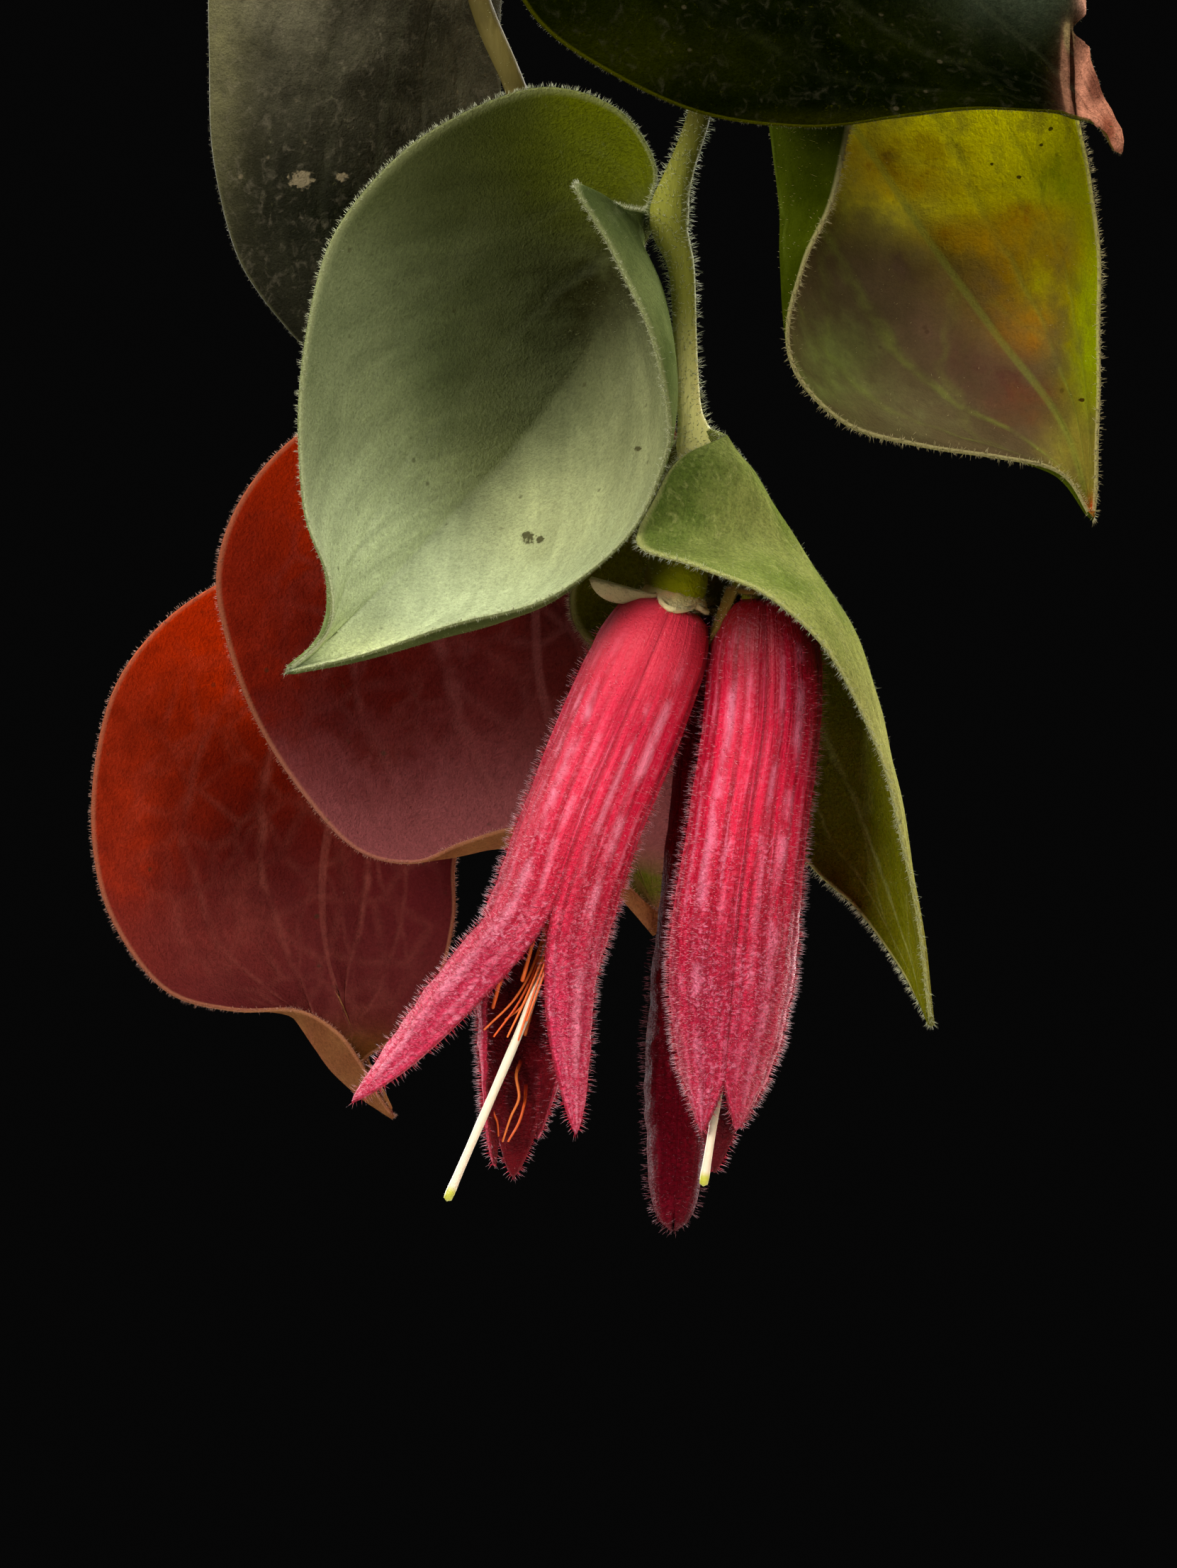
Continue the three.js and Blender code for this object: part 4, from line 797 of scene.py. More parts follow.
mottledLook = {
    "deep": (66, 54, 34), "light": (82, 68, 44), "vein": (104, 116, 40),
    "under": (38, 46, 0), "underLight": (58, 66, 6), "edge": (158, 148, 98),
    "veinShare": 0.36, "net": 0.08, "netScale": 0.3, "edgeShare": 0.6, "edgeFrom": 0.987, "midShare": 0.35,
    "rough": 0.7, "depth": 0.16, "fanShare": 0.35, "grainShare": 0.45, "feltShare": 0.35,
    # Spots: the bright yellow ones at the top, most of all at (31, 47), are partly the leaf's own yellow and
    # partly painted light shining through the leaf from behind
    "spots": [
        ((31, 47), (11, 6), 1.3, (236, 226, 0)),
        ((24, 47), (6, 3), 0.8, (170, 150, 0)),
        ((36.8, 34), (3, 14), 0.9, (116, 110, 0)),
        ((36.7, 35), (1.2, 10), 1.0, (128, 140, 0)),
        ((31, 38), (5, 5), 0.7, (132, 96, 4)),
        ((30.5, 43.8), (5, 2.6), 0.8, (196, 184, 0)),
        ((34.6, 43.6), (2.6, 3.4), 0.7, (150, 160, 4)),
        ((32.6, 41.8), (3.4, 1.5), 0.7, (152, 106, 2)),
        ((29.4, 40.6), (3.0, 1.5), 0.8, (166, 122, 2)),
        ((34.4, 39.2), (2.2, 2.2), 0.5, (142, 98, 2)),
        ((33.4, 36.6), (1.8, 3), 0.6, (132, 128, 4)),
        ((32.4, 33.6), (2.6, 2.6), 0.7, (138, 94, 14)),
        ((25, 44.8), (5, 1.7), 0.7, (148, 110, 2)),
        ((21, 46.6), (3, 2.2), 0.7, (112, 78, 10)),
        ((27.6, 41.2), (3.4, 1.5), 0.7, (150, 112, 2)),
        ((24, 38.6), (3.4, 3), 0.6, (58, 42, 16)),
        ((28, 36), (3, 3), 0.5, (70, 52, 14)),
        ((20.5, 37.5), (4, 4), 0.6, (80, 62, 46)),
        ((24.5, 33.5), (4, 4), 0.5, (88, 66, 48)),
        ((29.3, 29.7), (5, 3.4), 0.8, (68, 42, 32)),
        ((32.6, 27.8), (3, 2.4), 0.6, (86, 48, 28)),
        ((17.5, 30), (4.5, 5), 0.8, (98, 102, 52)),
        ((23.4, 27.2), (5, 3), 0.7, (88, 82, 50)),
        ((36, 24), (2.4, 3.4), 1.1, (118, 106, 36)),
        ((36.8, 19.6), (1.2, 1.2), 1.3, (150, 60, 16)),
    ],
    "marks": [
        ((34.1, 48.3), 0.22), ((33.4, 47.2), 0.2), ((30, 46.1), 0.18), ((31.9, 45), 0.2),
        ((36.1, 28.1), 0.22)],
    "speck": (44, 22, 4), "speckShare": 0.4, "uneven": 2.6, "fleckShare": 0.06,
}
darkLook = {
    "deep": (26, 25, 16), "light": (50, 47, 34), "vein": (60, 60, 42),
    "under": (66, 78, 34), "underLight": (90, 100, 50), "edge": (84, 84, 36),
    "veinShare": 0.15, "net": 0.1, "edgeShare": 0.4, "midShare": 0.2, "rough": 0.6, "gloss": 0.02,
    "depth": 0.3, "speck": (110, 98, 74), "speckShare": 0.6,
}
backLook = dict(
    darkLook, deep=(38, 35, 24), light=(76, 72, 54), edge=(90, 88, 56),
    spots=[((-29, 58), (3.2, 18), 0.9, (92, 88, 58)), ((-25, 66), (5, 6), 0.6, (112, 106, 76)),
           ((-19, 42.5), (6, 5), 1.0, (14, 15, 6))],
    bands=[(60, 43, 0.85, (16, 16, 8))],
    blots=[((100, 92, 74), 1.3, 0.5, 0.8, 0.4), ((30, 30, 20), 0.8, 0.46, 0.8, 0.4)],
    marks=[((-21.6, 45.6), 1.0), ((-18.6, 45.8), 0.5)], grainShare=0.5,
)
upperLook = dict(
    darkLook, deep=(2, 4, 0), light=(9, 12, 0), edge=(52, 52, 0), speckShare=0.14,
    vein=(40, 42, 26), gloss=0.0, edgeFrom=0.992, edgeShare=0.8,
    spots=[
        ((2, 51), (10, 3), 0.5, (24, 26, 0)),
        ((31, 58), (6, 4), 1.0, (44, 50, 36)),
        ((20, 46.4), (12, 0.9), 0.4, (30, 30, 0)),
        ((33.95, 50.0), (0.24, 2.7), 4.0, (98, 68, 50)),
        ((34.3, 53.4), (0.3, 0.9), 4.0, (104, 90, 58)),
        ((38.9, 47.8), (2.7, 5), 20.0, (166, 110, 86)),
        ((36.5, 57.2), (1, 2.2), 6.0, (184, 136, 114)),
        ((36.2, 49.6), (0.8, 1.6), 1.4, (96, 56, 42)),
        ((36.9, 46.4), (0.7, 1.5), 1.2, (112, 62, 44)),
        ((34.5, 50.4), (0.14, 3), 5.0, (26, 12, 6)),
    ],
    blots=[((44, 42, 30), 1.1, 0.52, 0.8, 0.35)], uneven=0.9,
)
redLook = {
    "deep": (66, 14, 9), "light": (88, 20, 12), "vein": (132, 72, 60),
    "under": (104, 58, 34), "underLight": (128, 86, 50), "edge": (170, 112, 80),
    "veinShare": 0.34, "net": 0.45, "netScale": 0.26, "edgeShare": 0.4, "edgeFrom": 0.985, "midShare": 0.25,
    "rough": 0.72, "depth": 0.2, "grainShare": 0.7, "feltShare": 0.6, "fanShare": 0.35, "fleckShare": 0.05,
    "speck": (39, 39, 25),
}
lowerRedLook = dict(
    redLook, deep=(70, 10, 3), light=(84, 16, 6),
    bands=[(2, -14, 0.9, (76, 28, 28))],
    # The orange spots near the upper left are partly the leaf's own colour and partly painted light shining
    # through the leaf from behind
    spots=[
        ((-31, 14), (11, 10), 1.2, (186, 46, 4)),
        ((-36, 0), (5, 13), 0.8, (154, 42, 18)),
        ((-30, -12), (8, 4), 0.6, (112, 44, 38)),
        ((-13, -7), (6, 9), 0.8, (74, 22, 24)),
        ((-18, -22), (4, 3), 1.2, (92, 56, 22)),
    ],
)
upperRedLook = dict(
    redLook, deep=(58, 10, 8), light=(72, 17, 12), vein=(112, 60, 56),
    bands=[(8, -4, 1.0, (118, 62, 62))],
    # The orange spots near the upper left are partly the leaf's own colour and partly painted light shining
    # through the leaf from behind
    spots=[
        ((-24, 25), (8, 10), 1.2, (158, 36, 2)),
        ((-26, 14), (5, 12), 0.9, (120, 28, 12)),
        ((0, 14), (9, 10), 0.7, (44, 14, 12)),
        ((-8, 6), (8, 6), 0.5, (66, 24, 24)),
        ((-16, 4), (6, 7), 0.6, (66, 12, 6)),
        ((4, -8), (3, 2.4), 1.2, (78, 76, 20)),
    ],
)

paleHair = fuzzPaint("pale_leaf_hair", (128, 134, 84), (222, 222, 186))
feltHair = fuzzPaint("leaf_felt", (104, 112, 70), (160, 166, 124))
oliveHair = fuzzPaint("olive_leaf_hair", (96, 92, 40), (206, 190, 140))
blushHair = fuzzPaint("blush_leaf_hair", (120, 56, 44), (214, 168, 144))
duskHair = fuzzPaint("dusk_leaf_hair", (50, 50, 30), (120, 114, 80))

# Hairs: how many on the rim, the face and the stalk, and how long and wide in mm
freshFluff = {"rim": 4600, "rimLength": 0.4, "face": 4000, "length": 0.2, "width": 0.026, "stalk": 700,
              "paint": paleHair, "facePaint": feltHair, "faceAt": (-16, 17), "faceReach": 8.0}
blushFluff = {"rim": 2600, "rimLength": 0.3, "width": 0.03, "stalk": 200, "length": 0.25, "paint": blushHair}
duskFluff = {"rim": 1600, "rimLength": 0.22, "width": 0.03, "stalk": 200, "length": 0.22, "paint": duskHair}
tipLeaves = [
    ("leaf_front", frontLeaf, flowerStem, frontLook, "leaf_fresh", freshFluff, 0.1, 0.1),
    ("leaf_hood", hoodLeaf, flowerStem, hoodLook, "leaf_fresh",
     dict(freshFluff, rimLength=0.48, faceAt=(14, 12), faceReach=12.0), 0.4, 0.1),
    ("leaf_mottled", mottledLeaf, flowerStem, mottledLook, "leaf_yellow",
     dict(freshFluff, rim=4200, rimLength=0.52, width=0.036, face=1500, paint=oliveHair,
          facePaint=oliveHair, faceAt=(18, 48)), 0.7, 0.12),
    ("leaf_dark_upper", upperDarkLeaf, flowerStem, upperLook, "leaf_dark", duskFluff, 0.9, 0.1),
    ("leaf_dark_back", backDarkLeaf, redStem, backLook, "leaf_dark", duskFluff, 1.3, 0.1),
    ("leaf_red_upper", upperRedLeaf, redStem, upperRedLook, "leaf_red", blushFluff, 1.7, 0.1),
    ("leaf_red_lower", lowerRedLeaf, redStem, lowerRedLook, "leaf_red", blushFluff, 2.2, 0.1),
]
for name, shape, stem, look, slotName, fluff, seed, wave in tipLeaves:
    paint = leafPaint(name + "_skin", look)
    addLeaf(name + "_blade", shape, stem, paint, name, 84, 30, tip, seed, wave, fluff)
print("leaves at the tip made")


# Leaves along the stems
flatMargin = [[-0.08, 0.42], [0.06, 0.84], [0.3, 1], [0.55, 0.84], [0.75, 0.5], [0.88, 0.2]]
up = np.array([0.0, 0.0, 1.0])
goldenTurn = math.radians(137.5)


def hungShape(stem, place, seed, length, width):
    # A heart-shaped leaf with a drip tip, which faces away from the pot and hangs down
    cup, droop = 0.3 + 0.3 * scatter(seed + 60), 0.1 + 0.2 * scatter(seed + 80)
    turn = goldenTurn * seed
    centre, tangent = stem["path"].at(place), stem["path"].tangent(place)
    outward = unit(centre * [1, 1, 0])
    aside = unit(np.cross(tangent, outward))
    rise = unit(np.cross(aside, tangent))
    away = rise * math.cos(turn) + aside * math.sin(turn)
    heading = unit(away * 0.75 + tangent * 0.3 - up * 0.62)
    face = away * 0.7 + up * 0.55
    face = unit(face - heading * (face @ heading))
    across = np.cross(face, heading)
    base = centre + away * (float(stemRadius(stem, place)) + seatGap + stalkReach)

    def put(x, y, z):
        return (base + heading * x + across * y + face * z).tolist()

    def sag(part):
        return -droop * length * part * abs(part)

    def margin(sign):
        return [put(x * length, sign * y * width / 2, sag(x) + cup * width * y * y / 2)
                for x, y in flatMargin]

    belly = [[0, 0, 0], (face * -cup * width * 0.16).tolist(), [0, 0, 0]]
    return {"midrib": [put(part * length, 0, sag(part)) for part in (0, 0.25, 0.5, 0.75, 1)],
            "left": margin(1), "right": margin(-1), "bellyLeft": belly, "bellyRight": belly}


greenLook = dict(freshLook, deep=(96, 116, 62), light=(132, 148, 92), veinShare=0.3, net=0.25,
                 vein=(168, 182, 122), under=(122, 138, 88), underLight=(146, 160, 108),
                 cloudScale=0.06)
oldLook = dict(darkLook, deep=(48, 60, 34), light=(74, 86, 50), veinShare=0.3, cloudScale=0.06)
youngLook = dict(greenLook, deep=(124, 122, 58), light=(158, 132, 78), vein=(190, 176, 116),
                 under=(150, 138, 84), underLight=(172, 150, 98), edge=(186, 128, 88))
hungPaints = {
    "green": leafPaint("green_leaf_skin", greenLook),
    "old": leafPaint("dark_leaf_skin", oldLook),
    "young": leafPaint("young_leaf_skin", youngLook),
}
hungFluff = {"rimLength": 0.5, "width": 0.07, "paint": paleHair}


def addHungLeaf(name, node, stem, place, seed, size, kind, rows, cells, rim):
    shape = hungShape(stem, place, seed, *size)
    addLeaf(name + "_blade", shape, stem, hungPaints[kind], node, rows, cells,
            np.zeros(3), seed * 0.37, 0.3, dict(hungFluff, rim=rim))


leafCrop = [(flowerStem, [0.34, 0.47, 0.6], 1), (redStem, [0.36, 0.55], 4)]
leafCrop += [(stem, [0.42, 0.57, 0.71, 0.85, 0.985], plan["first"])
             for stem, plan in zip(archStems, archPlans)]
leafNumber = 0
for stem, places, first in leafCrop:
    for i, place in enumerate(places):
        seed = first + i
        leafNumber += 1
        size = (42 + 10 * scatter(seed + 20), 38 + 8 * scatter(seed + 40))
        kind = "green" if scatter(seed + 100) > 0.3 else "old"
        name = f"leaf_{leafNumber:02d}"
        addHungLeaf(name, name, stem, place, seed, size, kind, 30, 10, 260)
# Smaller leaves between them, as (place on the stem, seed, length in mm)
smallCrop = [
    (flowerStem, [(0.405, 68, 28), (0.535, 74, 32), (0.27, 81, 36)]),
    (redStem, [(0.455, 88, 28), (0.3, 97, 32), (0.62, 102, 36)]),
    (archStems[0], [(0.35, 109, 28), (0.495, 66, 32), (0.64, 75, 36), (0.78, 81, 28), (0.92, 87, 26)]),
    (archStems[1], [(0.35, 94, 36), (0.495, 101, 28), (0.64, 109, 22), (0.78, 65, 30), (0.92, 73, 28)]),
    (archStems[2], [(0.35, 80, 32), (0.495, 87, 36), (0.64, 93, 28), (0.78, 100, 26), (0.92, 108, 30)]),
    (archStems[3], [(0.35, 65, 28), (0.495, 71, 32), (0.64, 78, 24), (0.78, 85, 22), (0.92, 92, 32)]),
    (archStems[4], [(0.35, 99, 24), (0.495, 106, 28), (0.64, 64, 32), (0.78, 71, 30), (0.92, 77, 22)]),
]
smallNumber = 0
for stem, plans in smallCrop:
    for place, seed, length in plans:
        smallNumber += 1
        size = (length + 6 * scatter(seed + 20), length * 0.88 + 5 * scatter(seed + 40))
        kind = "young" if length < 29 else ("green" if scatter(seed + 100) > 0.25 else "old")
        addHungLeaf(f"leaf_small_{smallNumber:02d}", None, stem, place, seed, size, kind, 26, 9, 180)
print("leaves along the stems made")


# Flowers. An axis runs down the middle of a tube, and t is the share of it
def axisTangent(axis, t):
    ahead = spline(axis, np.minimum(t + 1e-4, 1))
    return unit(ahead - spline(axis, np.maximum(t - 1e-4, 0)))


def axisPoint(axis, t):
    # The axis goes on straight where t leaves 0 to 1
    held = np.clip(t, 0, 1)
    length = np.linalg.norm(np.diff(spline(axis, np.linspace(0, 1, 201)), axis=0), axis=1).sum()
    return spline(axis, held) + axisTangent(axis, held) * ((t - held) * length)[..., None]


def axisRay(axis, t, turn):
    # A direction across the axis; a turn of 0 faces the camera
    down = axisTangent(axis, np.clip(t, 0, 1))
    front = np.array([0.0, -1.0, 0.0])
    front = unit(front - down * (down @ front)[..., None])
    side = np.cross(down, front)
    return front * np.cos(turn)[..., None] + side * np.sin(turn)[..., None]


def lobedSheet(flower, rows, cells):
    # A tube that splits into lobes. Each lobe has its place around the axis in degrees, the share of the
    # axis where it ends, how far its end leans out and sideways in mm, and where its slit starts
    axis = np.asarray(flower["axis"], float) + flower["origin"]
    lobes = flower["lobes"]
    step = 2 * math.pi / len(lobes)
    t = np.linspace(0, 1, rows + 1)
    blank = np.zeros(rows + 1)
    foot = flower.get("foot", 0)
    rounding = np.sqrt(1 - np.clip(1 - (1 - t) / foot, 0, 1) ** 2) if foot else 1
    grids = []
    for k, lobe in enumerate(lobes):
        centre = math.radians(lobe["at"])
        before, after = lobe["slit"], lobes[(k + 1) % len(lobes)]["slit"]
        opens = min(before, after)
        bend = np.maximum(0, (t - opens) / (1 - opens)) ** 1.6
        station = np.where(t < 0.5, t, 0.5 + (t - 0.5) * (lobe["end"] - 0.5) * 2)
        place = axisPoint(axis, station)
        lean = axisRay(axis, t, blank + centre) * (lobe["out"] * bend)[:, None]
        lean = lean + axisRay(axis, t, blank + centre + math.pi / 2) * (lobe["side"] * bend)[:, None]
        shoulder = np.sqrt(1 - (1 - np.minimum(1, t / flower.get("shoulder", 1e-6))) ** 2)
        crown = flower.get("crown", 1)
        radius = spline(flower["radius"], t) * (crown + (1 - crown) * shoulder) * (0.1 + 0.9 * rounding)
        depth = lobe.get("cup", 0) * np.sin(bend * math.pi) ** 0.7
        sink = axisTangent(axis, np.clip(station, 0, 1)) * depth[:, None]
        columns = []
        for j in range(cells + 1):
            across = 2 * j / cells - 1
            slit = before if across < 0 else after
            past = np.maximum(0, (t - slit) / (1 - slit))
            width = np.maximum(0, 1 - past ** flower.get("taper", 2.2)) ** 0.8
            flare = 1 + lobe.get("flare", 0) * bend ** 0.5 * (across < 0)
            ray = axisRay(axis, t, centre + across * step * width * flare / 2)
            columns.append(place + ray * radius[:, None] + lean + sink * (1 - across * across))
        grids.append(np.stack(columns, 1))
    fade = np.linspace(1, 0, cells + 1)[None, :, None]
    for k in range(len(lobes)):  # neighbours meet up to their slit
        last = (k + 1) % len(lobes)
        slit = lobes[last]["slit"]
        shut = (t <= slit)[:, None]
        hold = np.clip(1 - (t - slit) / 0.12, 0, 1)[:, None] ** 2
        gap = (grids[k][:, -1] - grids[last][:, 0]) * 0.5
        keep = gap[t <= slit][-1]
        gap = np.where(shut, gap, keep * hold)
        grids[k] = grids[k] - gap[:, None] * fade[:, ::-1]
        grids[last] = grids[last] + gap[:, None] * fade
    faces, values, points = [], {"along": [], "across": [], "lobe": []}, []
    for k, grid in enumerate(grids):
        faces.append(gridFaces(rows + 1, cells + 1) + len(points) * (rows + 1) * (cells + 1))
        points.append(grid.reshape(-1, 3))
        values["along"].append(np.repeat(t, cells + 1))
        values["across"].append(np.tile(np.linspace(-1, 1, cells + 1), rows + 1))
        values["lobe"].append(np.full((rows + 1) * (cells + 1), float(k)))
    joined = {k: np.concatenate(v) for k, v in values.items()}
    return welded(np.concatenate(points), np.concatenate(faces), joined)


def petalSolid(flower, rows, cells, seed):
    # Ribs along each lobe, with folds that grow finer towards the mouth
    points, faces, values = lobedSheet(flower, rows, cells)
    t, across = values["along"], np.abs(values["across"])
    fade = np.clip(t * 9, 0, 1) * np.clip((1 - t) * 7, 0, 1)
    size = flower.get("ribs", 1.0)
    height = 0.17 * np.exp(-((across / 0.24) ** 2)) + 0.07 * np.exp(-(((across - 0.55) / 0.16) ** 2))
    height = height - 0.16 * np.exp(-(((1 - across) / 0.1) ** 2)) * np.clip(1.4 - t, 0, 1)
    height = height * (0.75 + 0.5 * ripples(points, 0.25, 3 + seed)) * fade * size
    lower = np.clip((t - 0.35) * 2.2, 0, 1)
    folds = points * [1.0, 1.0, 0.35]
    height = height + 0.05 * ripples(folds, 1.6, 7 + seed) * fade
    height = height + (0.02 + 0.05 * lower) * ripples(points, 2.6, 5 + seed) * fade
    height = height + 0.035 * lower * ripples(points, 6.5, 9 + seed) * fade
    points = points - pointNormals(points, faces) * height[:, None]
    return thickened(points, faces, values, petalHalf * (1 - 0.35 * np.clip((t - 0.8) * 5, 0, 1)))


petalLooks = {
    "open": {
        "skin": (216, 20, 62), "deep": (160, 2, 34), "streak": (250, 150, 174),
        "top": (224, 52, 72), "tip": (226, 66, 108), "lining": (92, 0, 14),
        "throat": (124, 2, 18), "edge": (150, 6, 30), "gloss": 0.22,
    },
    "shut": {
        "skin": (218, 8, 58), "deep": (146, 0, 28), "streak": (248, 138, 168),
        # The top colour of the closed flower is painted shade: the shadow of the hood leaf above it
        "top": (92, 0, 0), "tip": (190, 36, 76), "lining": (80, 0, 12),
        "throat": (100, 2, 12), "edge": (120, 4, 24), "gloss": 0.22,
    },
    # The bud's darker crimson is partly its own colour and partly painted shade, as the near bud hangs behind
    # the other two flowers
    "dark": {
        "skin": (88, 0, 12), "deep": (62, 0, 6), "streak": (120, 8, 30),
        "top": (64, 0, 6), "tip": (104, 4, 24), "lining": (60, 0, 8),
        "throat": (70, 2, 8), "edge": (74, 0, 12), "gloss": 0.04,
    },
}


def petalPaint(name, look):
    # Pale streaks and painted highlights along the ribs, and frost, on a dark red skin, with painted shade in
    # its creases and crinkles, and a darker lining
    paint = Paint(name)
    t, across, side = paint.value("along"), paint.value("across"), paint.value("side")
    lobe = paint.value("lobe")
    drift = (paint.noise(0.18, 2) - 0.5) * 0.7
    lines = paint.joined(across * 4.0 + lobe * 9.0 + drift, t * 2.0, lobe * 3.0)
    fine = paint.noise(2.6, 4, lines, 0.5)
    broad = paint.noise(1.0, 3, lines, 0.6)
    skin = paint.noise(0.35, 4, distortion=0.6)
    crinkle = paint.noise(2.6, 4, paint.stretched((1, 1, 1.5)), 0.9)
    pores = paint.cells(3.0)
    colour = paint.mix(paint.smooth(0.34, 0.64, broad), look["deep"], look["skin"])
    colour = paint.mix(paint.smooth(0.5, 0.85, t) * 0.5, colour, look["tip"])
    # The top of the tube takes the top colour, which on the closed flower is painted shadow from the hood
    # leaf
    colour = paint.mix(paint.smooth(0.24, 0.02, t) * 0.95, colour, look["top"])
    dark = paint.smooth(0.5, 0.36, fine) * paint.smooth(0.02, 0.4, t)
    colour = paint.mix(dark * 0.3, colour, look["deep"])
    # Painted highlights: pale bands along the ridges of each lobe, where the glossy skin would catch the
    # lamps
    highlightRidge = paint.smooth(0.26, 0.0, abs(across + drift * 0.3))
    highlightRidge = highlightRidge + paint.smooth(0.14, 0.0, abs(abs(across) - 0.55)) * 0.6
    bloom = highlightRidge * paint.smooth(0.4, 0.62, paint.noise(0.3, 3, distortion=0.3))
    bloom = bloom * paint.smooth(0.04, 0.2, t)
    colour = paint.mix(paint.clamp(bloom * 0.55), colour, look["streak"])
    lower = paint.smooth(0.3, 0.75, t)
    patch = paint.smooth(0.4, 0.62, skin) * paint.smooth(0.03, 0.2, t)
    streak = paint.smooth(0.52, 0.72, fine) * (0.15 + 0.85 * patch) * paint.smooth(0.05, 0.45, t)
    colour = paint.mix(streak * 0.3, colour, look["streak"])
    frost = paint.smooth(0.47, 0.66, crinkle) * (0.2 + 0.8 * lower) * (0.3 + 0.7 * patch)
    colour = paint.mix(frost * 0.6, colour, look["streak"])
    # Painted shade in the hollows of the crinkled skin
    pitShade = paint.smooth(0.5, 0.32, crinkle) * (0.2 + 0.7 * lower)
    colour = paint.mix(pitShade * 0.6, colour, look["deep"])
    # Painted shade in the creases along the edges of the lobes, where they meet
    seamShade = paint.smooth(0.9, 1.0, abs(across))
    colour = paint.mix(seamShade * 0.7, colour, look["edge"])
    lining = paint.mix(paint.smooth(0.3, 0.7, paint.noise(0.6, 3)), look["lining"], look["throat"])
    lining = paint.mix(dark * 0.5, lining, look["lining"])
    colour = paint.mix(paint.smooth(0.6, 0.4, side), colour, lining)
    height = fine * 0.3 + crinkle * (0.2 + lower * 1.3) - pores * 0.12
    rough = 0.34 + crinkle * 0.2
    return paint.finish(colour, rough, height, 0.36, Specular_IOR_Level=look["gloss"])


def stalkTube(flower, stem):
    # The flower's stalk, which swells into the ovary
    route = np.asarray(flower["route"], float) + flower["origin"]
    u = nearest(stem["path"], route[0])
    centre = stem["path"].at(u)
    skin = centre + unit(route[0] - centre) * stemRadius(stem, u) * 0.7
    path = Path([skin, *route])
    stem["joints"].append(float(u))
    w = np.linspace(0, 1, 41)
    ovary = flower["ovary"]
    radii = [0.6, 0.52, 0.66, ovary * 0.72, ovary * 1.08, ovary]
    swell = np.interp(w, [0, 0.2, 0.45, 0.62, 0.78, 1], radii)
    smooth = np.convolve(np.pad(swell, 3, "edge"), np.ones(7) / 7, "valid")
    return tube(path.at(w), smooth, 16)


def calyxPaint(name, look):
    paint = Paint(name)
    t, side, lobe = paint.value("along"), paint.value("side"), paint.value("part")
    cloud = paint.noise(0.9, 3)
    stalk = paint.mix(paint.smooth(0.3, 0.7, t), look["stalk"], look["ovary"])
    stalk = paint.mix(paint.smooth(0.4, 0.7, cloud) * 0.5, stalk, look["light"])
    sheet = paint.mix(paint.smooth(0.1, 0.8, t), look["base"], look["lobe"])
    sheet = paint.mix(paint.smooth(0.45, 0.75, cloud) * 0.5, sheet, look["blush"])
    sheet = paint.mix(paint.smooth(0.6, 0.4, side) * 0.4, sheet, look["lining"])
    colour = paint.mix(lobe, stalk, sheet)
    return paint.finish(colour, 0.55 + cloud * 0.15, paint.noise(3, 4), 0.15, Specular_IOR_Level=0.05)


calyxSkin = calyxPaint("calyx_skin", {
    "stalk": (110, 104, 20), "ovary": (126, 126, 0), "light": (144, 138, 14),
    "base": (168, 148, 76), "lobe": (222, 202, 146), "blush": (206, 140, 108),
    "lining": (226, 208, 154)})
shadeCalyxSkin = calyxPaint("shaded_calyx_skin", {
    "stalk": (96, 88, 24), "ovary": (104, 98, 10), "light": (120, 108, 30),
    "base": (112, 92, 30), "lobe": (92, 68, 24), "blush": (110, 58, 24),
    "lining": (96, 80, 34)})


def addCalyx(name, flower, stem, skin, hairPaint):
    # The cup with its lobes, and the stalk with the ovary
    calyx = dict(flower["calyx"], origin=flower["origin"])
    points, faces, values = lobedSheet(calyx, 26, 10)
    t, across = values["along"], np.abs(values["across"])
    lift = 0.1 * np.exp(-((across / 0.3) ** 2)) + 0.06 * ripples(points, 1.4, 21)
    lift = lift * np.clip((1 - t) * 4, 0, 1) * np.clip(t * 4, 0, 1)
    points = points - pointNormals(points, faces) * lift[:, None]
    lobes = thickened(points, faces, values, calyxHalf)
    lobes[2]["part"] = np.ones(len(lobes[0]))
    stalk = stalkTube(flower, stem)
    addPiece(name + "_cup", merged(stalk, lobes), skin, [name])
    hairs = merged(fuzz(stalk, 420, 0.4, 0.04, spread=0.3), fuzz(lobes, 700, 0.3, 0.04, spread=0.4))
    addPiece(name + "_hairs", hairs, hairPaint)


bloomHair = fuzzPaint("flower_hair", (200, 20, 56), (255, 232, 238), 0.3)
shadeHair = fuzzPaint("bud_hair", (84, 0, 14), (216, 150, 160), 0.35)


def addCorolla(name, flower, skin, hairs, hairPaint, rows, cells, seed):
    # Hairs stand on the outer side and thickest on the rim of the lobes
    solid = petalSolid(flower, rows, cells, seed)
    addPiece(name + "_tube", solid, skin, [name])
    _, faces, values = solid
    side, t = values["side"][faces].mean(1), values["along"][faces].mean(1)
    pick = np.where(side > 0.75, 1.0, np.where(side > 0.2, 2.0, 0.02)) * np.clip(t * 1.7, 0.12, 1.3)
    coat = fuzz(solid, hairs, 0.62, 0.034, spread=0.16, pick=pick)
    addPiece(name + "_hairs", coat, hairPaint)


def calyxRing(axis, radius, out):
    # A calyx with five lobes alike
    lobes = [{"at": at, "end": 1.2, "out": out, "side": 0, "slit": 0.4} for at in (18, 90, 162, 234, 306)]
    return {"axis": axis, "radius": radius, "lobes": lobes}


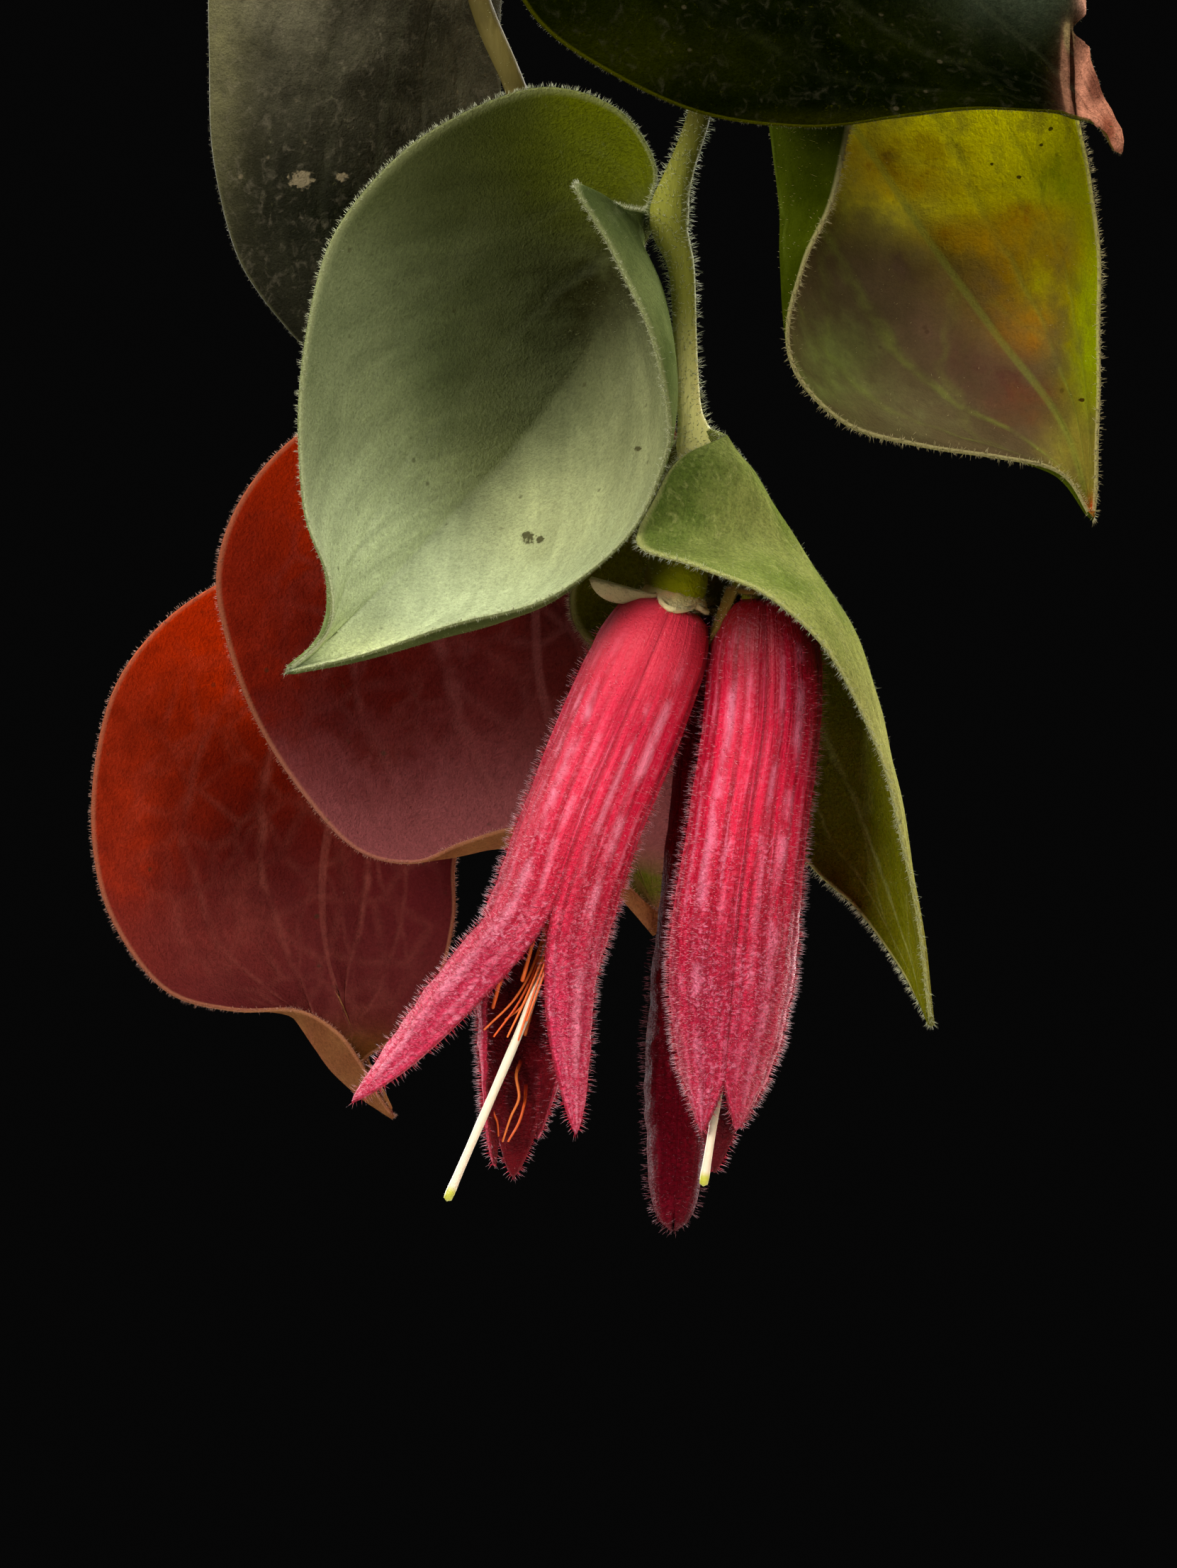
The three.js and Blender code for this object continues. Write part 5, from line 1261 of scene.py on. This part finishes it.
# Flowers in mm from their origin; the taper says how soon a lobe narrows, the crown how much the top of
# the tube is drawn in, and the foot how much of its closed lower end is rounded
openFlower = {
    "origin": tip,
    "axis": [[6, 0, 12.9], [2.7, 0, 5], [-0.3, 0, -2.3], [-2.7, 0, -9.5], [-4.4, 0, -16.8], [-5.6, 0, -25.6]],
    "radius": [3.7, 4.05, 4.15, 4.15, 4.2, 4.2, 4, 3.8, 3.5],
    "crown": 0.6,
    "shoulder": 0.1,
    "taper": 3.0,
    "lobes": [
        {"at": -36, "end": 0.98, "out": 2, "side": -1.7, "slit": 0.54},
        {"at": 36, "end": 0.98, "out": 5, "side": 8.4, "slit": 0.54, "flare": 0.45},
        {"at": 108, "end": 1.06, "out": -2.5, "side": 0, "slit": 0.62},
        {"at": 180, "end": 1.08, "out": -1, "side": 0.5, "slit": 0.7},
        {"at": 252, "end": 1, "out": -1.5, "side": 0, "slit": 0.62}],
    "route": [[5.8, 1.6, 21.8], [6.5, 1, 17.5], [6.4, 0, 14.8], [6.12, 0, 13.25]],
    "ovary": 2.2,
    "calyx": {
        "axis": [[6.35, 0, 14.2], [5.9, 0, 12.4]],
        "radius": [1.9, 2.3, 2.5],
        "lobes": [
            {"at": 66, "end": 0.4, "out": 3.6, "side": 1.4, "slit": 0.36, "cup": 1.15},
            {"at": 134, "end": 0.5, "out": 1.4, "side": 0, "slit": 0.4},
            {"at": 206, "end": 0.6, "out": 0.8, "side": 0, "slit": 0.4},
            {"at": 278, "end": 0.6, "out": 0.2, "side": 0, "slit": 0.4},
            {"at": 350, "end": 0.8, "out": 1.0, "side": 0.6, "slit": 0.4, "cup": 0.3}]},
}
closedFlower = {
    "origin": tip,
    "axis": [
        [12.9, 0, 13.3], [12.8, 0, 5.5], [11.75, 0, -2.3], [10.75, 0, -10.1], [10.15, 0, -17.8],
        [9.45, 0, -26.1]],
    "radius": [3.6, 3.95, 4.05, 4.1, 4.2, 4.35, 4.1, 3.25, 1.9],
    "crown": 0.5,
    "shoulder": 0.12,
    "taper": 1.5,
    "lobes": [
        {"at": -36, "end": 0.975, "out": -0.2, "side": -0.3, "slit": 0.88},
        {"at": 36, "end": 0.985, "out": -0.3, "side": 0.3, "slit": 0.9},
        {"at": 108, "end": 0.96, "out": -0.4, "side": 0, "slit": 0.9},
        {"at": 180, "end": 1.06, "out": -0.4, "side": 0, "slit": 0.88},
        {"at": 252, "end": 0.97, "out": -0.3, "side": 0, "slit": 0.9}],
    "route": [[10, 0, 21.6], [11, 0.2, 18.5], [12.4, 0.1, 15.5], [12.9, 0, 13.75]],
    "ovary": 2,
    "calyx": {
        "axis": [[12.9, 0, 14.5], [12.9, 0, 14]],
        "radius": [1.7, 2.5, 3],
        "lobes": [
            {"at": 18, "end": 1.2, "out": 0.4, "side": 0, "slit": 0.4},
            {"at": 90, "end": 9, "out": 1.35, "side": 0, "slit": 0.4},
            {"at": 162, "end": 5, "out": 1.2, "side": 0, "slit": 0.4},
            {"at": 234, "end": 1.2, "out": 0.4, "side": 0, "slit": 0.4},
            {"at": 306, "end": 1.2, "out": 0.4, "side": 0, "slit": 0.4}]},
}
narrowBud = {
    "origin": tip,
    "axis": [
        [9.5, 7, 12.4], [9.1, 7.5, 5.6], [8.4, 8, -2.9], [7.6, 8, -11.8], [6.8, 8, -20.8], [6.3, 8, -33.2]],
    "radius": [1.8, 2.1, 2.2, 2.3, 2.4, 2.3, 1.5],
    "crown": 0.5,
    "shoulder": 0.08,
    "foot": 0.06,
    "ribs": 0.45,
    "lobes": [{"at": at, "end": 1, "out": 0, "side": 0, "slit": 0.97} for at in (-36, 36, 108, 180, 252)],
    "route": [[8, 3.1, 24.4], [8.8, 5.2, 21], [9.5, 6.8, 16.5], [9.5, 7, 12.75]],
    "ovary": 1.5,
    "calyx": calyxRing([[9.5, 7, 13.6], [9.5, 7, 13.1]], [1.2, 1.8, 2.1], 0.8),
}
farTip = archStems[3]["path"].at(1)
farFlower = dict(
    closedFlower, origin=farTip,
    axis=[[4, 0, -9], [4.6, 0, -19], [4.8, 0, -29], [4.6, 0, -39], [4, 0, -48]],
    route=[[2.4, 0, -1.6], [3.4, 0, -4.5], [3.9, 0, -7], [4, 0, -8.65]],
    calyx=calyxRing([[4, 0, -7.8], [4, 0, -8.3]], [1.7, 2.5, 3], 1.6))
farBud = dict(
    narrowBud, origin=farTip,
    axis=[[-4, 0, -9], [-4.6, 0, -17], [-4.8, 0, -26], [-4.4, 0, -35], [-4, 0, -41]],
    route=[[-2.4, 0, -1.6], [-3.4, 0, -4.5], [-3.9, 0, -7], [-4, 0, -8.65]],
    calyx=calyxRing([[-4, 0, -7.8], [-4, 0, -8.3]], [1.2, 1.8, 2.1], 0.8))

openSkin = petalPaint("open_flower_skin", petalLooks["open"])
shutSkin = petalPaint("closed_flower_skin", petalLooks["shut"])
shadedBudSkin = petalPaint("shaded_bud_skin", petalLooks["dark"])
addCalyx("flower_open_calyx", openFlower, flowerStem, calyxSkin, paleHair)
addCalyx("flower_closed_calyx", closedFlower, flowerStem, shadeCalyxSkin, oliveHair)
addCalyx("flower_bud_calyx", narrowBud, flowerStem, shadeCalyxSkin, oliveHair)
addCalyx("flower_far_calyx", farFlower, archStems[3], calyxSkin, paleHair)
addCalyx("bud_far_calyx", farBud, archStems[3], shadeCalyxSkin, oliveHair)
addCorolla("flower_open_corolla", openFlower, openSkin, 11000, bloomHair, 96, 14, 1)
addCorolla("flower_closed_corolla", closedFlower, shutSkin, 10500, bloomHair, 96, 14, 2)
addCorolla("flower_bud_corolla", narrowBud, shadedBudSkin, 2600, shadeHair, 90, 8, 3)
addCorolla("flower_far_corolla", farFlower, shutSkin, 2600, bloomHair, 60, 8, 4)
addCorolla("bud_far_corolla", farBud, shadedBudSkin, 1200, shadeHair, 50, 6, 5)


def stylePaint():
    paint = Paint("style_skin")
    t = paint.value("along")
    cloud = paint.noise(1.2, 3)
    colour = paint.mix(cloud * 0.6, (222, 202, 172), (236, 220, 192))
    colour = paint.mix(paint.smooth(0.56, 0.3, t), colour, (224, 150, 126))
    colour = paint.mix(paint.smooth(0.975, 0.99, t), colour, (184, 182, 60))
    return paint.finish(colour, 0.4 + cloud * 0.15, paint.noise(4, 2), 0.05, Specular_IOR_Level=0.5)


styleSkin = stylePaint()


def addStyle(name, route):
    path = Path(route, tip)
    w = np.linspace(0, 1, 90)
    radii = 0.32 * (1.15 - 0.2 * w) * (1 + 0.16 * np.exp(-(((w - 0.985) / 0.012) ** 2)))
    radii = radii * (1 + 0.03 * np.sin(w * 60))
    addPiece(name + "_rod", tube(path.at(w), radii, 14), styleSkin, [name])


addStyle("flower_open_style", [
    [5.9, 0, 12.6], [0, 0, -2.3], [-2.9, -1, -11.6], [-4.7, -2.5, -17.2], [-10.2, -4.5, -30]])
addStyle("flower_closed_style", [
    [12.9, 0, 12.7], [12, 0, -2.3], [11, 0, -10.1], [10, 0, -19.4], [9.2, -0.3, -24.3], [8.4, -0.4, -29.2]])


def stamenPaint():
    paint = Paint("stamen_skin")
    t, shade = paint.value("along"), paint.value("shade")
    colour = paint.mix(shade, (240, 92, 20), (250, 140, 56))
    colour = paint.mix(paint.smooth(0.3, 0.0, t), colour, (190, 40, 30))
    colour = paint.mix(paint.noise(1.5, 2) * 0.5, colour, (214, 58, 22))
    return paint.finish(colour, 0.45 + shade * 0.1, paint.noise(5, 2), 0.04, Specular_IOR_Level=0.45)


stamenSkin = stamenPaint()


def addStamens(name, flower, strands, extra=()):
    # A collar around the style, strands from it down the tube, and thin ends between the lobes
    axis = np.asarray(flower["axis"], float) + flower["origin"]
    outer, inner, start = 1.7, 0.93, 1.3
    ring = np.linspace(0.012, 0.05, 5)
    turn = np.linspace(0, 2 * np.pi, 33)[:-1]
    fluting = 0.08 * np.cos(turn * 10)
    loops = []
    for radius, order in ((outer, ring), (inner, ring[::-1])):
        for t in order:
            at = np.full(len(turn), t)
            loops.append(axisPoint(axis, at) + axisRay(axis, at, turn) * (radius + fluting)[:, None])
    loops.append(loops[0])
    rows = len(loops)
    collarFaces = gridFaces(rows, len(turn), closed=True)
    collar = welded(np.concatenate(loops), collarFaces, {"along": np.zeros(rows * len(turn))})
    solids = [collar]
    for i, strand in enumerate(strands):
        stations = np.array([0.03, 0.2, 0.45, strand["end"]])
        reach = start + (strand["spread"] - start) * np.minimum(1, stations / 0.45)
        rays = axisRay(axis, stations, np.full(4, math.radians(strand["at"])))
        route = axisPoint(axis, stations) + rays * reach[:, None]
        w = np.linspace(0, 1, 46)
        radii = 0.26 * (1 - 0.45 * w) * (1 + 0.1 * np.sin(w * 40 + i))
        solids.append(tube(Path(route).at(w), radii, 8, {"shade": scatter(i + 3)}))
    for i, route in enumerate(extra):
        w = np.linspace(0, 1, 40)
        radii = 0.15 * (1 - 0.5 * w)
        solids.append(tube(Path(route, flower["origin"]).at(w), radii, 6, {"shade": scatter(i + 31)}))
    addPiece(name + "_strands", merged(*solids), stamenSkin, [name])


addStamens("flower_open_stamens", openFlower, [
    {"at": 20, "end": 0.74, "spread": 2.6}, {"at": 65, "end": 0.8, "spread": 2.9},
    {"at": 115, "end": 0.76, "spread": 2.7}, {"at": 180, "end": 0.84, "spread": 2.4},
    {"at": 235, "end": 0.82, "spread": 2.4}, {"at": 300, "end": 0.76, "spread": 2.6},
], [
    [[-1.6, -0.6, -6], [-3, -1.7, -11.6], [-4.3, -2.3, -15], [-5.9, -2.4, -18.4]],
    [[-1.2, -0.9, -6], [-2.7, -2, -11.6], [-3.9, -2.8, -15], [-5.1, -3, -18.6]],
    [[-1.0, -1.3, -6], [-2.5, -2.3, -11.6], [-3.5, -3, -14.6], [-4.5, -3.2, -17.2]],
    [[-2.2, -0.3, -6], [-3.6, -1.2, -12], [-5.2, -1.6, -15.4], [-7.6, -1.6, -17.9]],
    [[-2, -0.2, -6], [-3.4, -1.1, -12], [-4.9, -1.5, -15.6], [-6.9, -1.5, -18.4]],
    [[-1.8, -0.1, -6], [-3.2, -1.0, -12], [-4.6, -1.4, -15.8], [-6.1, -1.2, -17.2]],
    [[-5, 3.2, -20.4], [-5.3, 1.6, -21.4], [-5.1, 1.2, -23], [-5.7, 1.1, -24.4], [-6.3, 0.9, -26.2]],
    [[-6.6, 3.2, -20.6], [-7, 1.6, -22], [-7.1, 1.2, -23.6], [-6.7, 1.1, -24.8], [-6.6, 0.9, -25.8]],
    [[-4.6, 3.2, -22.2], [-4.7, 1.7, -23.4], [-5.1, 1.2, -24.8], [-5.9, 1, -26.2]],
])
addStamens("flower_closed_stamens", closedFlower, [
    {"at": at, "end": 0.8, "spread": 2.4} for at in (40, 100, 160, 220, 280, 340)])
print("flowers made")


# Stem pieces, with a swelling where each stalk starts, in mm
def stemPaint(name, look):
    paint = Paint(name)
    t = paint.value("along")
    cloud = paint.noise(0.25, 4)
    lines = paint.noise(1.6, 4, paint.stretched((1, 1, 0.12)))
    colour = paint.mix(paint.smooth(0.35, 0.65, cloud), look["deep"], look["light"])
    colour = paint.mix(paint.smooth(0.5, 0.7, lines) * 0.4, colour, look["line"])
    wood = paint.smooth(0.42, 0.12, t) * (0.6 + 0.4 * paint.smooth(0.4, 0.6, cloud))
    colour = paint.mix(paint.clamp(wood), colour, look["wood"])
    for empty, full, share, tone in look.get("bands", []):
        place = paint.axis("Z") + cloud * 3.0 - float(tip[2] + 1.5)
        colour = paint.mix(paint.smooth(float(empty), float(full), place) * share, colour, tone)
    corky = paint.smooth(0.56, 0.7, paint.noise(0.9, 4, paint.stretched((1, 1, 0.3))))
    corky = corky * paint.smooth(0.4, 0.1, t)
    colour = paint.mix(corky * 0.6, colour, look["cork"])
    height = lines * 0.6 + cloud * 0.3
    return paint.finish(colour, 0.6 + lines * 0.2, height, 0.25, Specular_IOR_Level=0.05)


greenStem = stemPaint("stem_skin", {
    "deep": (66, 64, 24), "light": (92, 92, 44), "line": (122, 122, 72),
    "wood": (96, 80, 54), "cork": (150, 132, 102)})
tipStem = stemPaint("stem_flowering_skin", {
    "deep": (46, 40, 6), "light": (58, 52, 12), "line": (84, 82, 34),
    "wood": (96, 80, 54), "cork": (150, 132, 102),
    "bands": [(52, 42, 0.9, (130, 130, 48)), (36, 27, 0.9, (214, 208, 128))]})
oliveStem = stemPaint("stem_red_leaves_skin", {
    "deep": (78, 68, 32), "light": (98, 86, 44), "line": (112, 102, 58),
    "wood": (96, 78, 52), "cork": (146, 126, 96)})
stemSides, stemStep = 14, 1.1
swellThick, swellLong = 0.22, 1.6
stemSkins = {"stem_flowering": tipStem, "stem_red_leaves": oliveStem}
# Hairs as (how many, length, width, spread, place where they begin, how soon they thicken, least share)
stemCoats = {
    "stem_flowering": (8000, 0.6, 0.042, 0.4, 0.68, 8, 0.06),
    "stem_red_leaves": (1600, 0.2, 0.03, 0.3, 0.5, 5, 0.1),
}
plainCoat = (1500, 0.6, 0.06, 0.3, 0.3, 3, 0.05)
for i, stem in enumerate(allStems):
    name, path = stem["name"], stem["path"]
    u = np.linspace(0, 1, int(path.length / stemStep)) ** 0.85
    radii = stemRadius(stem, u)
    for joint in stem["joints"]:
        radii = radii + swellThick * np.exp(-(((u - joint) * path.length / swellLong) ** 2))
    radii = radii * (1 + 0.02 * np.sin(u * path.length * 0.9 + i))
    solid = tube(path.at(u), radii, stemSides)
    solid[2]["along"] = np.concatenate([np.repeat(u, stemSides), [0, 1]])
    addPiece(name + "_rod", solid, stemSkins.get(name, greenStem), [name])
    place = solid[2]["along"][solid[1]].mean(1)
    count, length, width, spread, begin, rise, least = stemCoats.get(name, plainCoat)
    coat = fuzz(solid, count, length, width, spread, np.clip((place - begin) * rise, least, 1))
    addPiece(name + "_hairs", coat, paleHair)
print("stems made")


# Pot
pot = {
    "foot": 50, "rim": 72, "height": 116, "wall": 6, "floor": 8, "band": 24, "proud": 3.5,
    "hole": 5, "circle": 28, "sides": 112,
    "clay": (186, 108, 68), "pale": (214, 142, 100), "dark": (150, 78, 46),
    "bloom": (222, 190, 160), "damp": (112, 62, 42),
}
slope = (pot["rim"] - pot["proud"] - pot["foot"]) / pot["height"]


def rounded(corners):
    # An outline of (r, z) corners with each corner cut round and long runs split
    reach, run = 0.9, 2.2
    points = np.asarray(corners, float)
    out = [points[0]]
    for before, here, after in zip(points[:-2], points[1:-1], points[2:]):
        to, on = before - here, after - here
        cut = min(reach, np.linalg.norm(to) / 2.2, np.linalg.norm(on) / 2.2)
        a, b = here + unit(to) * cut, here + unit(on) * cut
        for w in np.linspace(0, 1, 5):
            out.append((1 - w) ** 2 * a + 2 * w * (1 - w) * here + w * w * b)
    out.append(points[-1])
    full = [out[0]]
    for point in out[1:]:
        gap = np.linalg.norm(point - full[-1])
        steps = max(1, int(gap / run))
        start = full[-1]
        for k in range(1, steps + 1):
            full.append(start + (point - start) * k / steps)
    return np.array(full)


def turned(outline, sides):
    # A closed lathe solid; the outline starts and ends on the axis
    inner = outline[1:-1]
    rings = around(inner[:, 0], inner[:, 1], np.linspace(0, 2 * np.pi, sides, endpoint=False))
    return capped(rings, [0, 0, outline[0, 1]], [0, 0, outline[-1, 1]])


def potPaint():
    paint = Paint("terracotta_skin")
    z = paint.axis("Z")
    cloud = paint.noise(0.03, 5)
    grain = paint.noise(1.1, 5)
    rings = paint.noise(0.9, 3, paint.stretched((0.02, 0.02, 1)))
    colour = paint.mix(paint.smooth(0.35, 0.65, cloud), pot["clay"], pot["pale"])
    colour = paint.mix(paint.smooth(0.5, 0.8, rings) * 0.35, colour, pot["dark"])
    colour = paint.mix(paint.smooth(0.55, 0.75, grain) * 0.3, colour, pot["dark"])
    salt = paint.smooth(0.5, 0.68, paint.noise(0.05, 6, distortion=0.6)) * paint.smooth(30.0, 88.0, z)
    colour = paint.mix(salt * 0.55, colour, pot["bloom"])
    damp = paint.smooth(34.0, 0.0, z + cloud * 30)
    colour = paint.mix(damp * 0.6, colour, pot["damp"])
    height = rings * 0.5 + grain * 0.5
    return paint.finish(colour, 0.78 + grain * 0.12, height, 0.35, Specular_IOR_Level=0.3)


def outerAt(z):
    return pot["foot"] + slope * z


bandLow = pot["height"] - pot["band"]
potOutline = [
    [0, 0], [pot["foot"] - 1.5, 0], [pot["foot"], 1.5], [outerAt(bandLow), bandLow],
    [outerAt(bandLow) + pot["proud"], bandLow + 1.5], [pot["rim"], pot["height"] - 2],
    [pot["rim"] - 2, pot["height"]], [pot["rim"] - pot["proud"] - pot["wall"] + 1.5, pot["height"]],
    [pot["rim"] - pot["proud"] - pot["wall"], pot["height"] - 1.5],
    [outerAt(pot["floor"]) - pot["wall"], pot["floor"]], [0, pot["floor"]],
]
points, faces = turned(rounded(potOutline), pot["sides"])
radius = np.hypot(points[:, 0], points[:, 1])
wallOnly = np.clip((radius - 46) / 4, 0, 1)
wobble = 0.12 * np.sin(points[:, 2] * 1.35) * wallOnly + 0.1 * ripples(points, 0.12, 3) * wallOnly
points[:, :2] *= (1 - (wobble + 0.25 * wallOnly) / np.maximum(radius, 1))[:, None]
potBody = addPiece("pot_shell", (points, faces, {}), potPaint(), ["pot"])
holes, wide = 4, pot["hole"]
holeOutline = np.array([[0, -9], [wide + 0.9, -9], [wide + 0.9, -0.5], [wide, 0.6],
                        [wide, 7.2], [wide + 0.7, 8.2], [wide + 0.7, 20], [0, 20]], float)
for i in range(holes):
    turn = (i + 0.5) / holes * 2 * np.pi
    points, faces = turned(holeOutline, 32)
    points = points + [math.cos(turn) * pot["circle"], math.sin(turn) * pot["circle"], 0]
    drill = placed("drill", plainMesh("drill", points, faces))
    cut = potBody.modifiers.new("hole", "BOOLEAN")
    cut.operation, cut.solver, cut.object = "DIFFERENCE", "EXACT", drill
    bpy.context.view_layer.update()
    drilled = potBody.evaluated_get(bpy.context.evaluated_depsgraph_get())
    cutMesh = bpy.data.meshes.new_from_object(drilled)
    potBody.modifiers.clear()
    potBody.data = cutMesh
    bpy.data.objects.remove(drill)
print("pot made")


# Soil
def soilPaint():
    paint = Paint("soil_skin")
    crumbs = paint.noise(0.5, 6)
    cell = paint.cells(0.5)
    colour = paint.mix(paint.smooth(0.35, 0.65, crumbs), (44, 32, 24), (88, 66, 48))
    colour = paint.mix(paint.smooth(0.12, 0.0, cell) * 0.7, colour, (22, 16, 12))
    return paint.finish(colour, 0.9 - crumbs * 0.1, crumbs + cell * 0.4, 0.8)


innerAt = pot["foot"] - pot["wall"] - seatGap
soilRings, soilSides = 60, 180
soilFloor = pot["floor"] + seatGap
wallTop = innerAt + slope * (soilTop - 1)
r = np.linspace(0, 1, soilRings)[1:] * (wallTop - 0.4)
angle = np.linspace(0, 2 * np.pi, soilSides, endpoint=False)
surface = around(r, soilTop - 1 + (soilCrown + 1) * (1 - (r / wallTop) ** 2), angle)
flat = surface.reshape(-1, 3)
lumps = 0.9 * ripples(flat * [1, 1, 0], 0.22, 31) + 0.55 * ripples(flat * [1, 1, 0], 0.7, 32)
lumps = lumps + 0.3 * ripples(flat * [1, 1, 0], 1.6, 33)
for stem in allStems:
    foot = stem["path"].at(0)
    gap = np.hypot(flat[:, 0] - foot[0], flat[:, 1] - foot[1])
    lumps = lumps + 1.6 * np.exp(-(((gap - 4.5) / 3) ** 2)) - 1.2 * np.exp(-((gap / 2.6) ** 2))
flat[:, 2] += lumps * np.clip((wallTop - np.hypot(flat[:, 0], flat[:, 1])) / 6 + 0.35, 0, 1)
foot = innerAt + slope * pot["floor"]
side = around([wallTop, foot + (wallTop - foot) * 0.5, foot], [soilTop - 2.4, 56, soilFloor], angle)
points, faces = capped(np.concatenate([flat.reshape(surface.shape), side]),
                       [0, 0, soilTop + soilCrown + 0.2], [0, 0, soilFloor])
addPiece("soil_bed", (points, faces, {}), soilPaint(), ["soil"])
soilTree = BVHTree.FromPolygons(points.tolist(), faces.tolist())


def chunk(place, size, pick, sink):
    # A small lump with knocked corners
    turns, rings = 7, 5
    lat = np.linspace(-np.pi / 2, np.pi / 2, rings + 2)[1:-1]
    lon = np.linspace(0, 2 * np.pi, turns, endpoint=False)
    ball = around(np.cos(lat), np.sin(lat), lon).reshape(-1, 3)
    ball = np.concatenate([ball, [[0, 0, -1], [0, 0, 1]]])
    ball = np.sign(ball) * np.abs(ball) ** 0.75 * pick.uniform(0.72, 1.15, (len(ball), 1)) * size
    a, b, c = pick.uniform(0, wholeTurn), pick.normal(0, 0.35), pick.normal(0, 0.35)
    spin = np.array([[math.cos(a), -math.sin(a), 0], [math.sin(a), math.cos(a), 0], [b, c, 1]])
    ball = ball @ spin.T
    ball, faces = capped(ball[:-2].reshape(rings, turns, 3), ball[-2], ball[-1])
    return ball + place + [0, 0, size[2] * sink], faces, {"shade": np.full(len(ball), pick.rand())}


def bits(count, sizes, sink, seed):
    # Lumps all over the soil, clear of the stems and the pot
    potClear, stemClear, above = 5, 5.5, 140
    pick = np.random.RandomState(seed)
    feet = [stem["path"].at(0) for stem in allStems]
    made = []
    while len(made) < count:
        q, turn = (wallTop - potClear) * math.sqrt(pick.rand()), pick.uniform(0, wholeTurn)
        x, y = q * math.cos(turn), q * math.sin(turn)
        if min(math.hypot(x - foot[0], y - foot[1]) for foot in feet) < stemClear:
            continue
        hit = soilTree.ray_cast((x, y, above), (0, 0, -1))[0]
        size = np.array(sizes) * pick.uniform(0.5, 1.2, 3)
        made.append(chunk(np.array([x, y, hit[2]]), size, pick, sink))
    return merged(*made)


def bitPaint(name, dark, pale, rough):
    paint = Paint(name)
    shade = paint.value("shade")
    grain = paint.noise(1.3, 5, paint.stretched((1, 1, 2.5)))
    colour = paint.mix(shade, dark, pale)
    colour = paint.mix(paint.smooth(0.45, 0.7, grain) * 0.5, colour, dark)
    return paint.finish(colour, rough + grain * 0.1, grain, 0.3)


barkSkin = bitPaint("bark_skin", (70, 44, 28), (138, 94, 62), 0.75)
perliteSkin = bitPaint("perlite_skin", (206, 202, 194), (240, 238, 232), 0.8)
addPiece("bark_bits", bits(260, (3.2, 2.2, 1.1), 0.35, 41), barkSkin, smooth=False)
addPiece("perlite_bits", bits(110, (1.3, 1.2, 1.1), 0.2, 42), perliteSkin, smooth=False)
print("soil made")


# Studio
def floorPaint():
    paint = Paint("floor_skin")
    cloud = paint.noise(0.004, 3)
    return paint.finish(paint.mix(cloud, (158, 156, 152), (170, 168, 164)), 0.7 + cloud * 0.1)


edge, deep = 260, 6  # radius and thickness in mm
floorOutline = np.array([
    [0, -deep], [edge - 2, -deep], [edge, 1.5 - deep], [edge, -0.6], [edge - 1, 0], [0, 0]], float)
mesh = plainMesh("floor", *turned(floorOutline, 128))
mesh.materials.append(floorPaint())
floor = placed("floor", mesh)


def aimed(place, target):
    return (Vector(target) - Vector(place)).to_track_quat("-Z", "Y").to_euler()


# Lamps as (name, place and target in m, size in m, power in W, colour)
lamps = [
    ("overhead", (-0.16, 0.02, 0.62), (-0.16, 0.0, 0.1), (0.55, 0.5), 5.1, (1.0, 0.98, 0.95)),
    ("key", (-0.56, -0.46, 0.3), (-0.19, 0.0, 0.08), (0.3, 0.3), 4.3, (1.0, 0.98, 0.95)),
    ("rimLeft", (-0.5, 0.34, 0.22), (-0.19, 0.0, 0.09), (0.2, 0.4), 5.0, (1.0, 1.0, 1.0)),
    ("rimRight", (0.04, 0.42, 0.24), (-0.17, 0.0, 0.08), (0.2, 0.4), 4.6, (1.0, 1.0, 1.0)),
    ("plantFront", (0.35, -0.7, 0.6), (0.03, 0.0, 0.1), (0.6, 0.6), 7.6, (1.0, 0.98, 0.95)),
    ("plantBack", (0.25, 0.75, 0.55), (0.0, 0.0, 0.1), (0.6, 0.6), 5.6, (0.97, 0.98, 1.0)),
]
for name, place, target, size, power, colour in lamps:
    light = bpy.data.lights.new(name, "AREA")
    light.shape = "RECTANGLE"
    light.size, light.size_y = size
    light.energy, light.color = power, colour
    lamp = placed(name, light)
    lamp.location = place
    lamp.rotation_euler = aimed(place, target)
world = bpy.data.worlds.new("studio")
world.use_nodes = True
world.node_tree.nodes["Background"].inputs["Color"].default_value = (0.002, 0.002, 0.002, 1)
world.node_tree.nodes["Background"].inputs["Strength"].default_value = 1.0
bpy.context.scene.world = world
bpy.context.scene.view_settings.view_transform = "Standard"

viewDistance = 420
frameWidth = 86.06  # what the photograph shows at the tip, in mm
frameHeight = frameWidth * 2212 / 1661
sensor = 36
view = bpy.data.cameras.new("camera")
view.sensor_fit, view.sensor_width = "AUTO", sensor
view.lens = viewDistance / frameHeight * sensor
view.clip_start, view.clip_end = 0.01, 10
camera = placed("camera", view)
camera.location = (tip[0] * mm, -viewDistance * mm, tip[2] * mm)
camera.rotation_euler = (math.pi / 2, 0, 0)
bpy.context.scene.camera = camera
